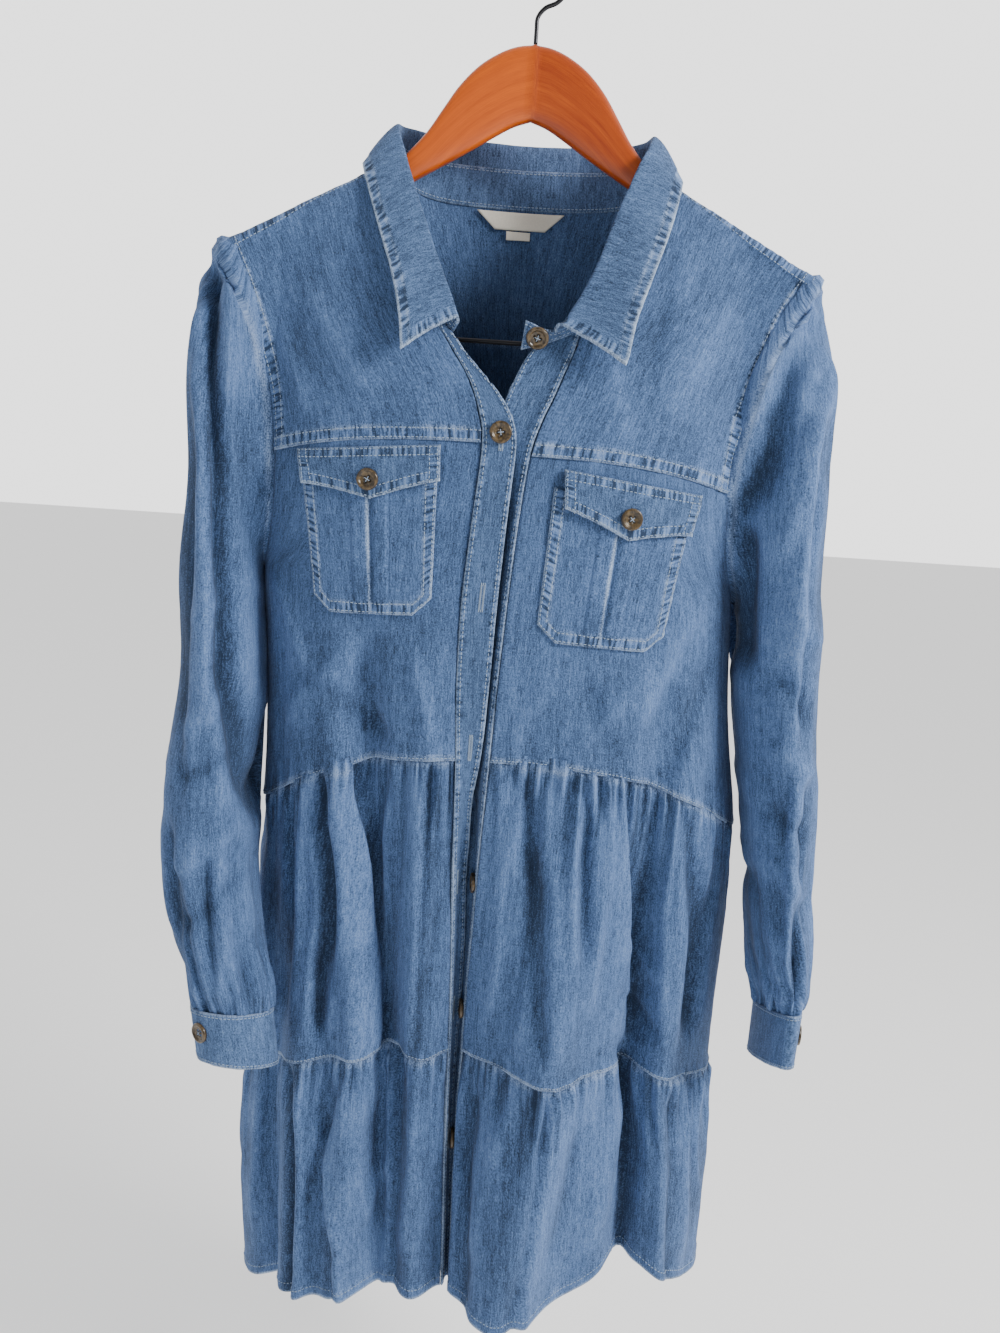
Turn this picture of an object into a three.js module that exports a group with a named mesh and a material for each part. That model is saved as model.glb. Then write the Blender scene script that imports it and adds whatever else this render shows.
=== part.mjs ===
// A long-sleeved tiered denim shirt dress on a contoured wooden hanger.
// Millimetres, +Z up, the front faces -Y, and the origin is the inside of the hook's top, where it hangs.
// "left" is the side at -X, which is on the left when the front is looked at.
import * as THREE from 'three';

// Driving sizes
const CLOTH = 1.4; // one layer of denim with its nap
const BAND = 2.2; // doubled cloth of plackets, cuffs and collar
const GAP = 0.4; // clear space left at each seam
const SEAM_YOKE = { left: -337, right: -344 }; // centre heights of the front yoke seams
const SEAM_WAIST = -563;
const SEAM_TIER = -806;
const HEM = -1010;
const UNDERARM = -416;
const SHOULDER = { inner: 98, innerZ: -150, tip: 206, tipZ: -211 };
const BAND_CLEAR = 1; // between a front's panels and its band, which slopes back under them
const RIDGE_RISE = 9.5; // from the shoulder ridge to the front or back face of the arm, cloth included
const GATHERS = { front: 16, back: 32, size: 2.3, fade: 62 };
const BUTTON = { radius: 7.6, high: 3 };
const LABEL_FACE = { y: 37.4, bend: 0.0019 }; // just inside the back's curve below the neck
const HOOK = { wire: 3, inner: 20, stem: -64 };

const denim = (shade) => new THREE.MeshStandardMaterial({ color: shade, roughness: 0.9, metalness: 0 });
const CLOTH_BLUE = 0x4a6c9c;
const CLOTH_LIGHT = 0x5577a6;
const wood = new THREE.MeshStandardMaterial({ color: 0xb4501e, roughness: 0.35, metalness: 0 });
const steel = new THREE.MeshStandardMaterial({ color: 0x35363a, roughness: 0.4, metalness: 1 });
const horn = new THREE.MeshStandardMaterial({ color: 0x6a5638, roughness: 0.3, metalness: 0 });
const cream = new THREE.MeshStandardMaterial({ color: 0xe8e2d2, roughness: 0.8, metalness: 0 });

const dress = new THREE.Group();
dress.name = 'shirt_dress_on_hanger';

// Numbers and tables

const mix = (a, b, t) => a + (b - a) * t;
const clamp = (t, low = 0, high = 1) => Math.min(high, Math.max(low, t));
const ease = (t) => clamp(t) ** 2 * (3 - 2 * clamp(t));
const steps = (count) => Array.from({ length: count + 1 }, (_, k) => k / count);
const bell = (distance, width) => Math.exp(-((distance / width) ** 2));
/** A number from 0 to 1 that differs from one whole number to the next, always the same. */
const uneven = (k) => {
  const s = Math.sin(k * 12.9898 + 4.1) * 43758.5453;
  return s - Math.floor(s);
};

/** A smooth curve through the named column of a table whose first column, key, rises or falls. */
function column(table, key, name) {
  const sorted = [...table].sort((a, b) => a[key] - b[key]);
  const xs = sorted.map((row) => row[key]);
  const ys = sorted.map((row) => row[name]);
  const last = xs.length - 1;
  const slopes = xs.map((_, k) => {
    const a = Math.max(0, k - 1);
    const b = Math.min(last, k + 1);
    return (ys[b] - ys[a]) / (xs[b] - xs[a]);
  });
  return (at) => {
    const x = clamp(at, xs[0], xs[last]);
    let k = 0;
    while (k < last - 1 && x > xs[k + 1]) k += 1;
    const span = xs[k + 1] - xs[k];
    const t = (x - xs[k]) / span;
    const h = t * t * (3 - 2 * t);
    return mix(ys[k], ys[k + 1], h)
      + span * t * (1 - t) * (slopes[k] * (1 - t) - slopes[k + 1] * t);
  };
}

const columns = (table, key) => Object.fromEntries(
  Object.keys(table[0]).filter((name) => name !== key).map((name) => [name, column(table, key, name)]),
);

// Closed walls from surfaces

/**
 * The closed wall between two faces of a surface(u, v), one out mm above it and one into mm below.
 * rows holds a v and a rising list of u for each row; closed joins each row's end to its start.
 * plain is the surface without its small waves, which the wall's thickness is measured across.
 */
function wall(surface, rows, { out = 0, into = CLOTH, closed = false, plain = surface } = {}) {
  const nudge = 1e-3;
  const normalAt = (u, v) => {
    const across = plain(u + nudge, v).sub(plain(u - nudge, v));
    const down = plain(u, v + nudge).sub(plain(u, v - nudge));
    return down.cross(across).normalize();
  };
  const points = [];
  const layers = [[], []];
  for (const { v, us } of rows) {
    const list = closed ? us.slice(0, -1) : us;
    const made = list.map((u) => ({ p: surface(u, v), n: normalAt(u, v) }));
    [out, -into].forEach((lift, layer) => {
      layers[layer].push(made.map(({ p, n }) => {
        points.push(p.clone().addScaledVector(n, lift));
        return points.length - 1;
      }));
    });
  }
  const faces = [];
  const face = (a, b, c, flip) => faces.push(...(flip ? [a, c, b] : [a, b, c]));
  const strip = (top, low, usTop, usLow, flip) => {
    const at = (list, k) => list[k % list.length];
    let i = 0;
    let j = 0;
    while (i < usTop.length - 1 || j < usLow.length - 1) {
      const stepTop = j === usLow.length - 1
        || (i < usTop.length - 1 && usTop[i + 1] <= usLow[j + 1] + 1e-9);
      if (stepTop) {
        face(at(top, i), at(low, j), at(top, i + 1), flip);
        i += 1;
      } else {
        face(at(top, i), at(low, j), at(low, j + 1), flip);
        j += 1;
      }
    }
  };
  layers.forEach((layer, side) => {
    for (let r = 0; r < rows.length - 1; r += 1) {
      strip(layer[r], layer[r + 1], rows[r].us, rows[r + 1].us, side === 1);
    }
  });
  const lastRow = rows.length - 1;
  strip(layers[1][0], layers[0][0], rows[0].us, rows[0].us, false);
  strip(layers[0][lastRow], layers[1][lastRow], rows[lastRow].us, rows[lastRow].us, false);
  if (!closed) {
    for (let r = 0; r < lastRow; r += 1) {
      const [a, b] = [layers[0][r], layers[0][r + 1]];
      const [c, d] = [layers[1][r], layers[1][r + 1]];
      face(a[0], c[0], b[0], false);
      face(c[0], d[0], b[0], false);
      face(a.at(-1), b.at(-1), c.at(-1), false);
      face(c.at(-1), b.at(-1), d.at(-1), false);
    }
  }
  const geometry = new THREE.BufferGeometry();
  geometry.setAttribute('position', new THREE.Float32BufferAttribute(points.flatMap((p) => p.toArray()), 3));
  let volume = 0;
  for (let f = 0; f < faces.length; f += 3) {
    const [a, b, c] = [faces[f], faces[f + 1], faces[f + 2]].map((k) => points[k]);
    volume += a.dot(b.clone().cross(c)) / 6;
  }
  geometry.setIndex(volume > 0 ? faces : faces.reverse());
  geometry.computeVertexNormals();
  return geometry;
}

const grid = (down, across) => down.map((v) => ({ v, us: across }));

function add(name, geometry, material) {
  const mesh = new THREE.Mesh(geometry, material.clone());
  mesh.name = name;
  dress.add(mesh);
  return mesh;
}

// The body's sections. Each row is a level named by its height at the centre front.
// left and right are half widths, front and back are depths from middle, drop is how much
// lower the side is than the centre, and reach is how far round to the side a panel goes.
const SECTIONS = columns([
  { level: -337, left: 185, right: 178, middle: -5, front: 71, back: 48, dropLeft: 20, dropRight: 25,
    reachLeft: 0.897, reachRight: 0.882 },
  { level: -375, left: 183, right: 176, middle: -5, front: 72, back: 50, dropLeft: 20, dropRight: 25,
    reachLeft: 0.918, reachRight: 0.92 },
  { level: -400, left: 181, right: 174, middle: -5, front: 72, back: 52, dropLeft: 21, dropRight: 25,
    reachLeft: 0.961, reachRight: 0.977 },
  { level: UNDERARM, left: 180, right: 175, middle: -5, front: 72, back: 53, dropLeft: 22, dropRight: 26,
    reachLeft: 1, reachRight: 1 },
  { level: -460, left: 177, right: 179, middle: -5, front: 72, back: 55, dropLeft: 32, dropRight: 36,
    reachLeft: 1, reachRight: 1 },
  { level: -505, left: 175, right: 186, middle: -4, front: 72, back: 58, dropLeft: 45, dropRight: 47,
    reachLeft: 1, reachRight: 1 },
  { level: SEAM_WAIST, left: 176, right: 198, middle: -3, front: 70, back: 60, dropLeft: 58, dropRight: 58,
    reachLeft: 1, reachRight: 1 },
  { level: -640, left: 179, right: 201, middle: -2, front: 69, back: 66, dropLeft: 57, dropRight: 52,
    reachLeft: 1, reachRight: 1 },
  { level: -740, left: 184, right: 202, middle: 0, front: 68, back: 74, dropLeft: 52, dropRight: 40,
    reachLeft: 1, reachRight: 1 },
  { level: SEAM_TIER, left: 190, right: 203, middle: 2, front: 72, back: 80, dropLeft: 47, dropRight: 30,
    reachLeft: 1, reachRight: 1 },
  { level: -900, left: 194, right: 211, middle: 3, front: 80, back: 88, dropLeft: 48, dropRight: 24,
    reachLeft: 1, reachRight: 1 },
  { level: HEM, left: 189, right: 212, middle: 4, front: 86, back: 96, dropLeft: 50, dropRight: 18,
    reachLeft: 1, reachRight: 1 },
], 'level');
const FLAT = 3.2; // how square the level's oval is
const DROOP = 3; // how late towards the side a level starts to drop

// The large folds. face is 1 at the front and -1 at the back; at, mid and low are x at the waist seam,
// at the second seam and at the hem, with the height of the fold there; wide is its half width.
const FOLDS = [
  { face: 1, at: -140, high: 4, mid: -132, midHigh: 10, low: -128, lowHigh: 14, wide: 17 },
  { face: 1, at: -112, high: 7, mid: -86, midHigh: 12, low: -95, lowHigh: 15, wide: 14 },
  { face: 1, at: -88, high: -14, mid: -66, midHigh: -20, low: -62, lowHigh: -12, wide: 14 },
  { face: 1, at: -45, high: 4, mid: -38, midHigh: 10, low: -34, lowHigh: 10, wide: 15 },
  { face: 1, at: -8, high: 0, mid: -12, midHigh: -12, low: -10, lowHigh: -12, wide: 16 },
  { face: 1, at: 72, high: 3, mid: 58, midHigh: 34, low: 34, lowHigh: 40, wide: 30 },
  { face: 1, at: 126, high: -8, mid: 128, midHigh: -18, low: 133, lowHigh: -20, wide: 14 },
  { face: 1, at: 150, high: 5, mid: 152, midHigh: 10, low: 165, lowHigh: 12, wide: 16 },
  { face: 1, at: -160, high: -3, mid: -160, midHigh: -10, low: -158, lowHigh: -16, wide: 12 },
  { face: -1, at: -140, high: 4, mid: -142, midHigh: 12, low: -146, lowHigh: 18, wide: 19 },
  { face: -1, at: -98, high: -6, mid: -100, midHigh: -14, low: -104, lowHigh: -18, wide: 17 },
  { face: -1, at: -56, high: 6, mid: -58, midHigh: 14, low: -62, lowHigh: 18, wide: 21 },
  { face: -1, at: -8, high: -6, mid: -12, midHigh: -14, low: -14, lowHigh: -20, wide: 18 },
  { face: -1, at: 34, high: 5, mid: 34, midHigh: 14, low: 36, lowHigh: 20, wide: 20 },
  { face: -1, at: 82, high: -5, mid: 84, midHigh: -12, low: 88, lowHigh: -17, wide: 18 },
  { face: -1, at: 128, high: 5, mid: 132, midHigh: 13, low: 138, lowHigh: 18, wide: 20 },
];
const HEM_LIFT = { x: 140, rise: 32, wide: 42 }; // the hem is caught up here at the front

function foldHeight(face, x, level) {
  if (level > SEAM_WAIST + 140) return 0;
  const upper = level > SEAM_TIER;
  const t = upper
    ? (SEAM_WAIST - level) / (SEAM_WAIST - SEAM_TIER)
    : (SEAM_TIER - level) / (SEAM_TIER - HEM);
  const start = ease((SEAM_WAIST + 140 - level) / 140);
  return FOLDS.filter((fold) => fold.face === face).reduce((sum, fold) => {
    const where = upper ? mix(fold.at, fold.mid, clamp(t, -0.3)) : mix(fold.mid, fold.low, t);
    const high = upper ? mix(fold.high, fold.midHigh, ease(t)) : mix(fold.midHigh, fold.lowHigh, ease(t));
    return sum + start * high * bell(x - where, fold.wide);
  }, 0);
}

/** The body's surface at angle a, 0 at the centre front and rising towards +X, and at a level. */
function bodyAt(a, level) {
  const s = Math.sin(a);
  const face = Math.cos(a) >= 0 ? 1 : -1;
  const side = s < 0 ? 'left' : 'right';
  const Side = s < 0 ? 'Left' : 'Right';
  const width = SECTIONS[side](level);
  const depth = face > 0 ? SECTIONS.front(level) : SECTIONS.back(level);
  const round = Math.sqrt(Math.max(0, 1 - Math.abs(s) ** FLAT));
  const x = width * s;
  const y = -face * depth * round;
  const z = level - SECTIONS[`drop${Side}`](level) * Math.abs(s) ** DROOP;
  const nx = (FLAT * Math.abs(s) ** (FLAT - 1) * Math.sign(s)) / width;
  const ny = (2 * y) / depth ** 2;
  const length = Math.hypot(nx, ny) || 1;
  const high = foldHeight(face, x, level) * clamp(Math.abs(Math.cos(a)) * 2.2);
  const lift = face > 0
    ? HEM_LIFT.rise * bell(x - HEM_LIFT.x, HEM_LIFT.wide) * ease((SEAM_TIER - level) / (SEAM_TIER - HEM))
    : 0;
  return new THREE.Vector3(
    x + (high * nx) / length,
    SECTIONS.middle(level) + y + (high * ny) / length,
    z + lift,
  );
}

/** Girth measured round a middle level from the centre front, and the angle that a girth reaches. */
const ROUND = (() => {
  const count = 720;
  const list = [{ angle: 0, girth: 0 }];
  for (let k = 1; k <= count; k += 1) {
    const angle = (k / count) * Math.PI;
    const past = bodyAt((angle * (k - 1)) / k, UNDERARM);
    list.push({ angle, girth: list[k - 1].girth + bodyAt(angle, UNDERARM).distanceTo(past) });
  }
  const find = (from, to, value) => {
    const v = Math.abs(value);
    let low = 0;
    let high = count;
    while (high - low > 1) {
      const middle = (low + high) >> 1;
      if (list[middle][from] <= v) low = middle; else high = middle;
    }
    const [a, b] = [list[low], list[high]];
    return Math.sign(value) * mix(a[to], b[to], (v - a[from]) / (b[from] - a[from]));
  };
  return {
    angleAt: (girth) => find('girth', 'angle', girth),
    girthAt: (angle) => find('angle', 'girth', angle),
  };
})();
const QUARTER = ROUND.girthAt(Math.PI / 2);
const HALF = ROUND.girthAt(Math.PI);

/** The body's surface at a girth, which may run past the centre back and round to the left side. */
const bodyGirth = (girth, level) => bodyAt(ROUND.angleAt(girth > HALF ? girth - 2 * HALF : girth), level);
function girthOfX(x, level) {
  const width = x < 0 ? SECTIONS.left(level) : SECTIONS.right(level);
  return ROUND.girthAt(Math.asin(clamp(x / width, -1, 1)));
}
const reachGirth = (side, level) => ROUND.girthAt(Math.asin(clamp(SECTIONS[`reach${side}`](level))));

// The shoulder ridge, where the cloth lies on the hanger's arms
const armY = (x) => -0.07 * Math.abs(x) - 18.6 * (x / 205) ** 2;
function ridgeZ(x) {
  const slope = (SHOULDER.tipZ - SHOULDER.innerZ) / (SHOULDER.tip - SHOULDER.inner);
  return SHOULDER.innerZ + slope * Math.max(0, Math.abs(x) - SHOULDER.inner);
}
const RIDGE_SHY = 0.04; // the panels' top edges meet this far below the ridge
const forward = (t) => Math.sin((Math.PI / 2) * clamp(t)) ** 0.95;
const quarterRound = (d) => Math.sqrt(Math.max(0, 1 - (1 - clamp(d / RIDGE_RISE)) ** 2));

/** The chest's surface above the yoke seam: over the ridge, then forward to the chest. */
function chestAt(x, z) {
  const side = x < 0 ? 'left' : 'right';
  const Side = x < 0 ? 'Left' : 'Right';
  const level = SEAM_YOKE[side];
  const s = Math.min(Math.abs(x) / SECTIONS[side](level), SECTIONS[`reach${Side}`](level));
  const chest = SECTIONS.middle(level) - SECTIONS.front(level) * Math.sqrt(1 - s ** FLAT);
  const low = level - SECTIONS[`drop${Side}`](level) * s ** DROOP;
  const top = ridgeZ(x);
  const down = Math.max(0, top - z);
  const start = armY(x) - RIDGE_RISE;
  const t = clamp(down / (top - low));
  const y = armY(x) - RIDGE_RISE * quarterRound(down) + (chest - start) * forward(t);
  return new THREE.Vector3(x, y, z);
}

// The armhole's edge, half widths at heights
const ARMHOLE = columns([
  { z: -211, left: 206, right: 205 },
  { z: -235, left: 195, right: 190 },
  { z: -260, left: 185, right: 180 },
  { z: -285, left: 177, right: 172 },
  { z: -310, left: 170, right: 166 },
  { z: -336, left: 167, right: 160 },
  { z: -357, left: 166, right: 157 },
], 'z');

// The collar: neck seam, roll line and outer edge at stations from the left front end (0)
// round the back (8) to the right front end (16)
const COLLAR = columns([
  { at: 0, nx: -42, ny: -61, nz: -264, rx: -38, ry: -70, rz: -257, ex: -75, ey: -86, ez: -280 },
  { at: 1, nx: -58, ny: -57, nz: -248, rx: -47, ry: -62, rz: -238, ex: -79, ey: -77, ez: -254 },
  { at: 2, nx: -72, ny: -50, nz: -226, rx: -58, ry: -51, rz: -212, ex: -87, ey: -64, ez: -226 },
  { at: 3, nx: -87, ny: -38, nz: -193, rx: -74, ry: -34, rz: -173, ex: -101, ey: -45, ez: -190 },
  { at: 4, nx: -96, ny: -22, nz: -159, rx: -84, ry: -21, rz: -146, ex: -112, ey: -26, ez: -160 },
  { at: 5, nx: -99, ny: -9, nz: -149, rx: -91, ry: -4, rz: -124, ex: -115, ey: -6, ez: -150 },
  { at: 6, nx: -90, ny: 14, nz: -154, rx: -86, ry: 18, rz: -119, ex: -106, ey: 28, ez: -156 },
  { at: 7, nx: -62, ny: 32, nz: -160, rx: -58, ry: 37, rz: -118, ex: -66, ey: 52, ez: -165 },
  { at: 8, nx: 0, ny: 39, nz: -161, rx: 0, ry: 45, rz: -118, ex: 0, ey: 60, ez: -168 },
  { at: 9, nx: 60, ny: 32, nz: -160, rx: 55, ry: 37, rz: -118, ex: 62, ey: 52, ez: -165 },
  { at: 10, nx: 89, ny: 14, nz: -154, rx: 80, ry: 18, rz: -119, ex: 98, ey: 28, ez: -156 },
  { at: 11, nx: 99, ny: -9, nz: -149, rx: 86, ry: -4, rz: -121, ex: 107, ey: -6, ez: -147 },
  { at: 12, nx: 94, ny: -22, nz: -160, rx: 76, ry: -26, rz: -145, ex: 107, ey: -28, ez: -158 },
  { at: 13, nx: 84, ny: -38, nz: -193, rx: 64, ry: -38, rz: -176, ex: 100, ey: -46, ez: -188 },
  { at: 14, nx: 70, ny: -50, nz: -226, rx: 51, ry: -56, rz: -216, ex: 88, ey: -66, ez: -224 },
  { at: 15, nx: 50, ny: -58, nz: -252, rx: 38, ry: -66, rz: -243, ex: 79, ey: -79, ez: -252 },
  { at: 16, nx: 24, ny: -62, nz: -266, rx: 26, ry: -73, rz: -257, ex: 73, ey: -89, ez: -281 },
  { at: 17, nx: 4, ny: -64, nz: -272, rx: 7, ry: -70, rz: -244, ex: 60, ey: -92, ez: -290 },
], 'at');
const STATIONS = 16;
const point = (curve, at) => new THREE.Vector3(
  COLLAR[`${curve}x`](at), COLLAR[`${curve}y`](at), COLLAR[`${curve}z`](at),
);
const STAND_SHARE = 0.6; // how far up from the neck seam to the roll line the stand reaches

// The front bands. The seam joins the panel and the edge is free; rows are from the neck down.
// behind is how far the band steps back from the front, and turn how soon after its seam.
const OVER = columns([
  { row: 0, seamX: -64, seamZ: -243, edgeX: -42, edgeZ: -267, behind: 0, turn: 2.5 },
  { row: 1, seamX: -54, seamZ: -258, edgeX: -32, edgeZ: -280, behind: 0, turn: 2.5 },
  { row: 2, seamX: -42, seamZ: -276, edgeX: -20, edgeZ: -292, behind: 0, turn: 2.5 },
  { row: 3, seamX: -30, seamZ: -294, edgeX: -7, edgeZ: -306, behind: 0, turn: 2.5 },
  { row: 4, seamX: -22, seamZ: -314, edgeX: 2, edgeZ: -321, behind: 0, turn: 2.5 },
  { row: 5, seamX: -18, seamZ: -338, edgeX: 5, edgeZ: -340, behind: 0, turn: 2.5 },
  { row: 6, seamX: -22, seamZ: -390, edgeX: 2, edgeZ: -390, behind: 0, turn: 2.5 },
  { row: 7, seamX: -26, seamZ: -450, edgeX: -1, edgeZ: -450, behind: 0, turn: 2.5 },
  { row: 8, seamX: -26, seamZ: -510, edgeX: -3, edgeZ: -510, behind: 0, turn: 2 },
  { row: 9, seamX: -24, seamZ: SEAM_WAIST, edgeX: -6, edgeZ: SEAM_WAIST, behind: 3, turn: 1.4 },
  { row: 10, seamX: -22, seamZ: -640, edgeX: -16, edgeZ: -640, behind: 12, turn: 1 },
  { row: 11, seamX: -20, seamZ: -710, edgeX: -15, edgeZ: -710, behind: 13, turn: 1 },
  { row: 12, seamX: -18.5, seamZ: -760, edgeX: -14, edgeZ: -760, behind: 13, turn: 1 },
  { row: 13, seamX: -17.5, seamZ: SEAM_TIER, edgeX: -13.5, edgeZ: SEAM_TIER, behind: 13, turn: 1 },
  { row: 14, seamX: -16, seamZ: -870, edgeX: -12.5, edgeZ: -870, behind: 13, turn: 1 },
  { row: 15, seamX: -11, seamZ: HEM, edgeX: -8, edgeZ: HEM, behind: 13, turn: 1 },
], 'row');
const UNDER = columns([
  { row: 0, seamX: 44, seamZ: -256.6, edgeX: 14, edgeZ: -270, behind: 1, turn: 2.5 },
  { row: 1, seamX: 40, seamZ: -272, edgeX: 7, edgeZ: -280, behind: 2, turn: 2.5 },
  { row: 2, seamX: 34, seamZ: -288, edgeX: 2, edgeZ: -291, behind: 2.6, turn: 2.5 },
  { row: 3, seamX: 28, seamZ: -304, edgeX: -4, edgeZ: -306, behind: 3, turn: 2.5 },
  { row: 4, seamX: 21, seamZ: -321, edgeX: -9, edgeZ: -321, behind: 3, turn: 2.5 },
  { row: 5, seamX: 15, seamZ: -343, edgeX: -13, edgeZ: -343, behind: 3.4, turn: 2.5 },
  { row: 6, seamX: 10, seamZ: -390, edgeX: -17, edgeZ: -390, behind: 10, turn: 2.5 },
  { row: 7, seamX: 6, seamZ: -450, edgeX: -19, edgeZ: -450, behind: 13, turn: 2.2 },
  { row: 8, seamX: 3, seamZ: -510, edgeX: -19, edgeZ: -510, behind: 15, turn: 1.8 },
  { row: 9, seamX: 1, seamZ: SEAM_WAIST, edgeX: -16, edgeZ: SEAM_WAIST, behind: 17, turn: 1.4 },
  { row: 10, seamX: -2, seamZ: -640, edgeX: -6, edgeZ: -640, behind: 19, turn: 1 },
  { row: 11, seamX: -4, seamZ: -710, edgeX: -7, edgeZ: -710, behind: 19, turn: 1 },
  { row: 12, seamX: -5.5, seamZ: -760, edgeX: -8, edgeZ: -760, behind: 19, turn: 1 },
  { row: 13, seamX: -6, seamZ: SEAM_TIER, edgeX: -8.5, edgeZ: SEAM_TIER, behind: 19, turn: 1 },
  { row: 14, seamX: -6.5, seamZ: -870, edgeX: -8.5, edgeZ: -870, behind: 19, turn: 1 },
  { row: 15, seamX: -4.5, seamZ: HEM, edgeX: -6.5, edgeZ: HEM, behind: 19, turn: 1 },
], 'row');
const BAND_ROWS = 15;

/** The front's surface at x and z, for the bands, pockets, flaps and buttons that lie on it. */
function frontAt(x, z) {
  const side = x < 0 ? 'left' : 'right';
  const drop = (level) => SECTIONS[x < 0 ? 'dropLeft' : 'dropRight'](level)
    * (Math.abs(x) / SECTIONS[side](level)) ** DROOP;
  const seam = SEAM_YOKE[side];
  if (z > seam - drop(seam)) return chestAt(x, z);
  const level = z + drop(z);
  return bodyGirth(girthOfX(x, level), level);
}

/** The row of a band at which its seam is at height z. */
function rowAt(band, z) {
  let low = 0;
  let high = BAND_ROWS;
  for (let k = 0; k < 40; k += 1) {
    const middle = (low + high) / 2;
    if (band.seamZ(middle) > z) low = middle; else high = middle;
  }
  return low;
}
const seamX = (band, z) => band.seamX(rowAt(band, z));

function bandSurface(band) {
  return (u, v) => {
    const row = v * BAND_ROWS;
    const from = band.seamX(row);
    const x = mix(from, band.edgeX(row), u);
    const z = mix(band.seamZ(row), band.edgeZ(row), u);
    const p = frontAt(x, z);
    p.y += band.behind(row) * ease(Math.max(0, u) * band.turn(row));
    return p;
  };
}

// Panels

/** A front yoke: from the shoulder to the yoke seam, and from the neck and band to the armhole. */
function frontYoke(side) {
  const sign = side === 'left' ? -1 : 1;
  const band = side === 'left' ? OVER : UNDER;
  const neckStart = side === 'left' ? 4.75 : 11.25;
  const neckEnd = side === 'left' ? 1.4 : 15.15;
  const neckPart = 0.62;
  const sideSeam = SEAM_YOKE[side];
  const Side = side === 'left' ? 'Left' : 'Right';
  const reach = SECTIONS[side](sideSeam) * SECTIONS[`reach${Side}`](sideSeam);
  const inner = (v) => {
    if (v < neckPart) {
      const p = point('n', mix(neckStart, neckEnd, v / neckPart));
      return [p.x + sign * 1.2, p.z - 0.6];
    }
    const z = mix(COLLAR.nz(neckEnd) - 0.6, sideSeam, (v - neckPart) / (1 - neckPart));
    return [seamX(band, z) + sign * BAND_CLEAR, z];
  };
  const surface = (u, v) => {
    const [ix, iz] = inner(v);
    const endZ = sideSeam - SECTIONS[`drop${Side}`](sideSeam) * (reach / SECTIONS[side](sideSeam)) ** DROOP;
    const oz = mix(SHOULDER.tipZ - 1, endZ, v);
    const ox = sign * ARMHOLE[side](oz);
    const x = mix(ix, ox, u);
    const straight = mix(iz, oz, u);
    const seam = sideSeam - SECTIONS[`drop${Side}`](sideSeam) * (Math.abs(x) / SECTIONS[side](sideSeam)) ** DROOP;
    const ridge = Math.min(ridgeZ(x) - RIDGE_SHY, mix(iz, oz, u));
    const z = straight + (seam - mix(sideSeam, endZ, u)) * v ** 3 + (ridge - straight) * (1 - v) ** 3;
    return chestAt(x, z);
  };
  const facing = side === 'left' ? (u, v) => surface(1 - u, v) : surface;
  const down = [0, 0.012, 0.045, 0.11, 0.22, 0.36, 0.5, 0.64, 0.8, 0.998];
  return wall(facing, grid(down, steps(8)));
}

/** A body panel between two girths that may change with the level, from one level to another. */
function bodyPanel({ from, to, top, low, rows, count, gathers = 0 }) {
  const plain = (u, v) => {
    const level = mix(top, low, v);
    return bodyGirth(mix(from(level), to(level), u), level);
  };
  const surface = (u, v) => {
    const p = plain(u, v);
    if (!gathers) return p;
    const level = mix(top, low, v);
    const below = top - level;
    const size = GATHERS.size * clamp(below / 7) * clamp(1 - (below - 7) / (GATHERS.fade - 7)) ** 1.4;
    const wave = Math.cos(2 * Math.PI * gathers * u);
    const own = 0.45 + 0.9 * uneven(Math.round(u * gathers * 2) + gathers);
    const near = clamp(Math.min(u, 1 - u) * gathers);
    const ahead = bodyGirth(mix(from(level), to(level), u) + 1, level);
    const out = new THREE.Vector3(0, 0, -1).cross(ahead.sub(p)).normalize();
    return p.addScaledVector(out, size * own * wave * near);
  };
  return wall(surface, rows.map(({ d, share = 1 }) => ({
    v: d / (top - low), us: steps(Math.round(count * share)),
  })), { plain });
}

const shrink = GAP / 2;

function bodices() {
  const edge = {
    left: (level) => -reachGirth('Left', level) + shrink,
    right: (level) => reachGirth('Right', level) - shrink,
  };
  for (const side of ['left', 'right']) {
    const top = SEAM_YOKE[side] - GAP;
    const low = SEAM_WAIST + shrink;
    const band = side === 'left' ? OVER : UNDER;
    const seam = (level) => girthOfX(seamX(band, level) + (side === 'left' ? -BAND_CLEAR : BAND_CLEAR), level);
    const levels = [0, 18, 40, 63, 79, 105, 135, 168, 197, top - low].map((d) => ({ d }));
    add(`bodice_front_${side}`, bodyPanel({
      from: side === 'left' ? edge.left : seam,
      to: side === 'left' ? seam : edge.right,
      top, low, rows: levels, count: 13,
    }), denim(CLOTH_BLUE));
  }
  bodiceBack();
}

const BACK_LEVEL = -337; // where the back's shoulder part ends and its plain sections start
const NECK_SHARE = 0.46; // how much of the back's top is neck seam
const ARM_SHARE = 0.5; // how much of its rows lies above that level

/** The back's top edge, from the right shoulder tip (0) over the neck to the left one (1). */
function backTop(p) {
  const c = 2 * p - 1;
  if (Math.abs(c) < NECK_SHARE) {
    const q = point('n', mix(STATIONS / 2, c > 0 ? 5 : 11, Math.abs(c) / NECK_SHARE));
    return new THREE.Vector3(q.x, q.y + 0.6, q.z - 1.8);
  }
  const t = (Math.abs(c) - NECK_SHARE) / (1 - NECK_SHARE);
  const x = -Math.sign(c) * mix(SHOULDER.inner + 1, SHOULDER.tip, t);
  return new THREE.Vector3(x, armY(x) + 0.5, ridgeZ(x) - RIDGE_SHY);
}

/** The back below its shoulder part, from the right side (0) to the left (1) at a level. */
function backAcross(p, level) {
  const right = 2 * QUARTER - reachGirth('Right', level) + GAP / 2;
  const left = 2 * HALF - 2 * QUARTER + reachGirth('Left', level) - GAP / 2;
  return bodyGirth(mix(right, left, p), level);
}

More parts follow.
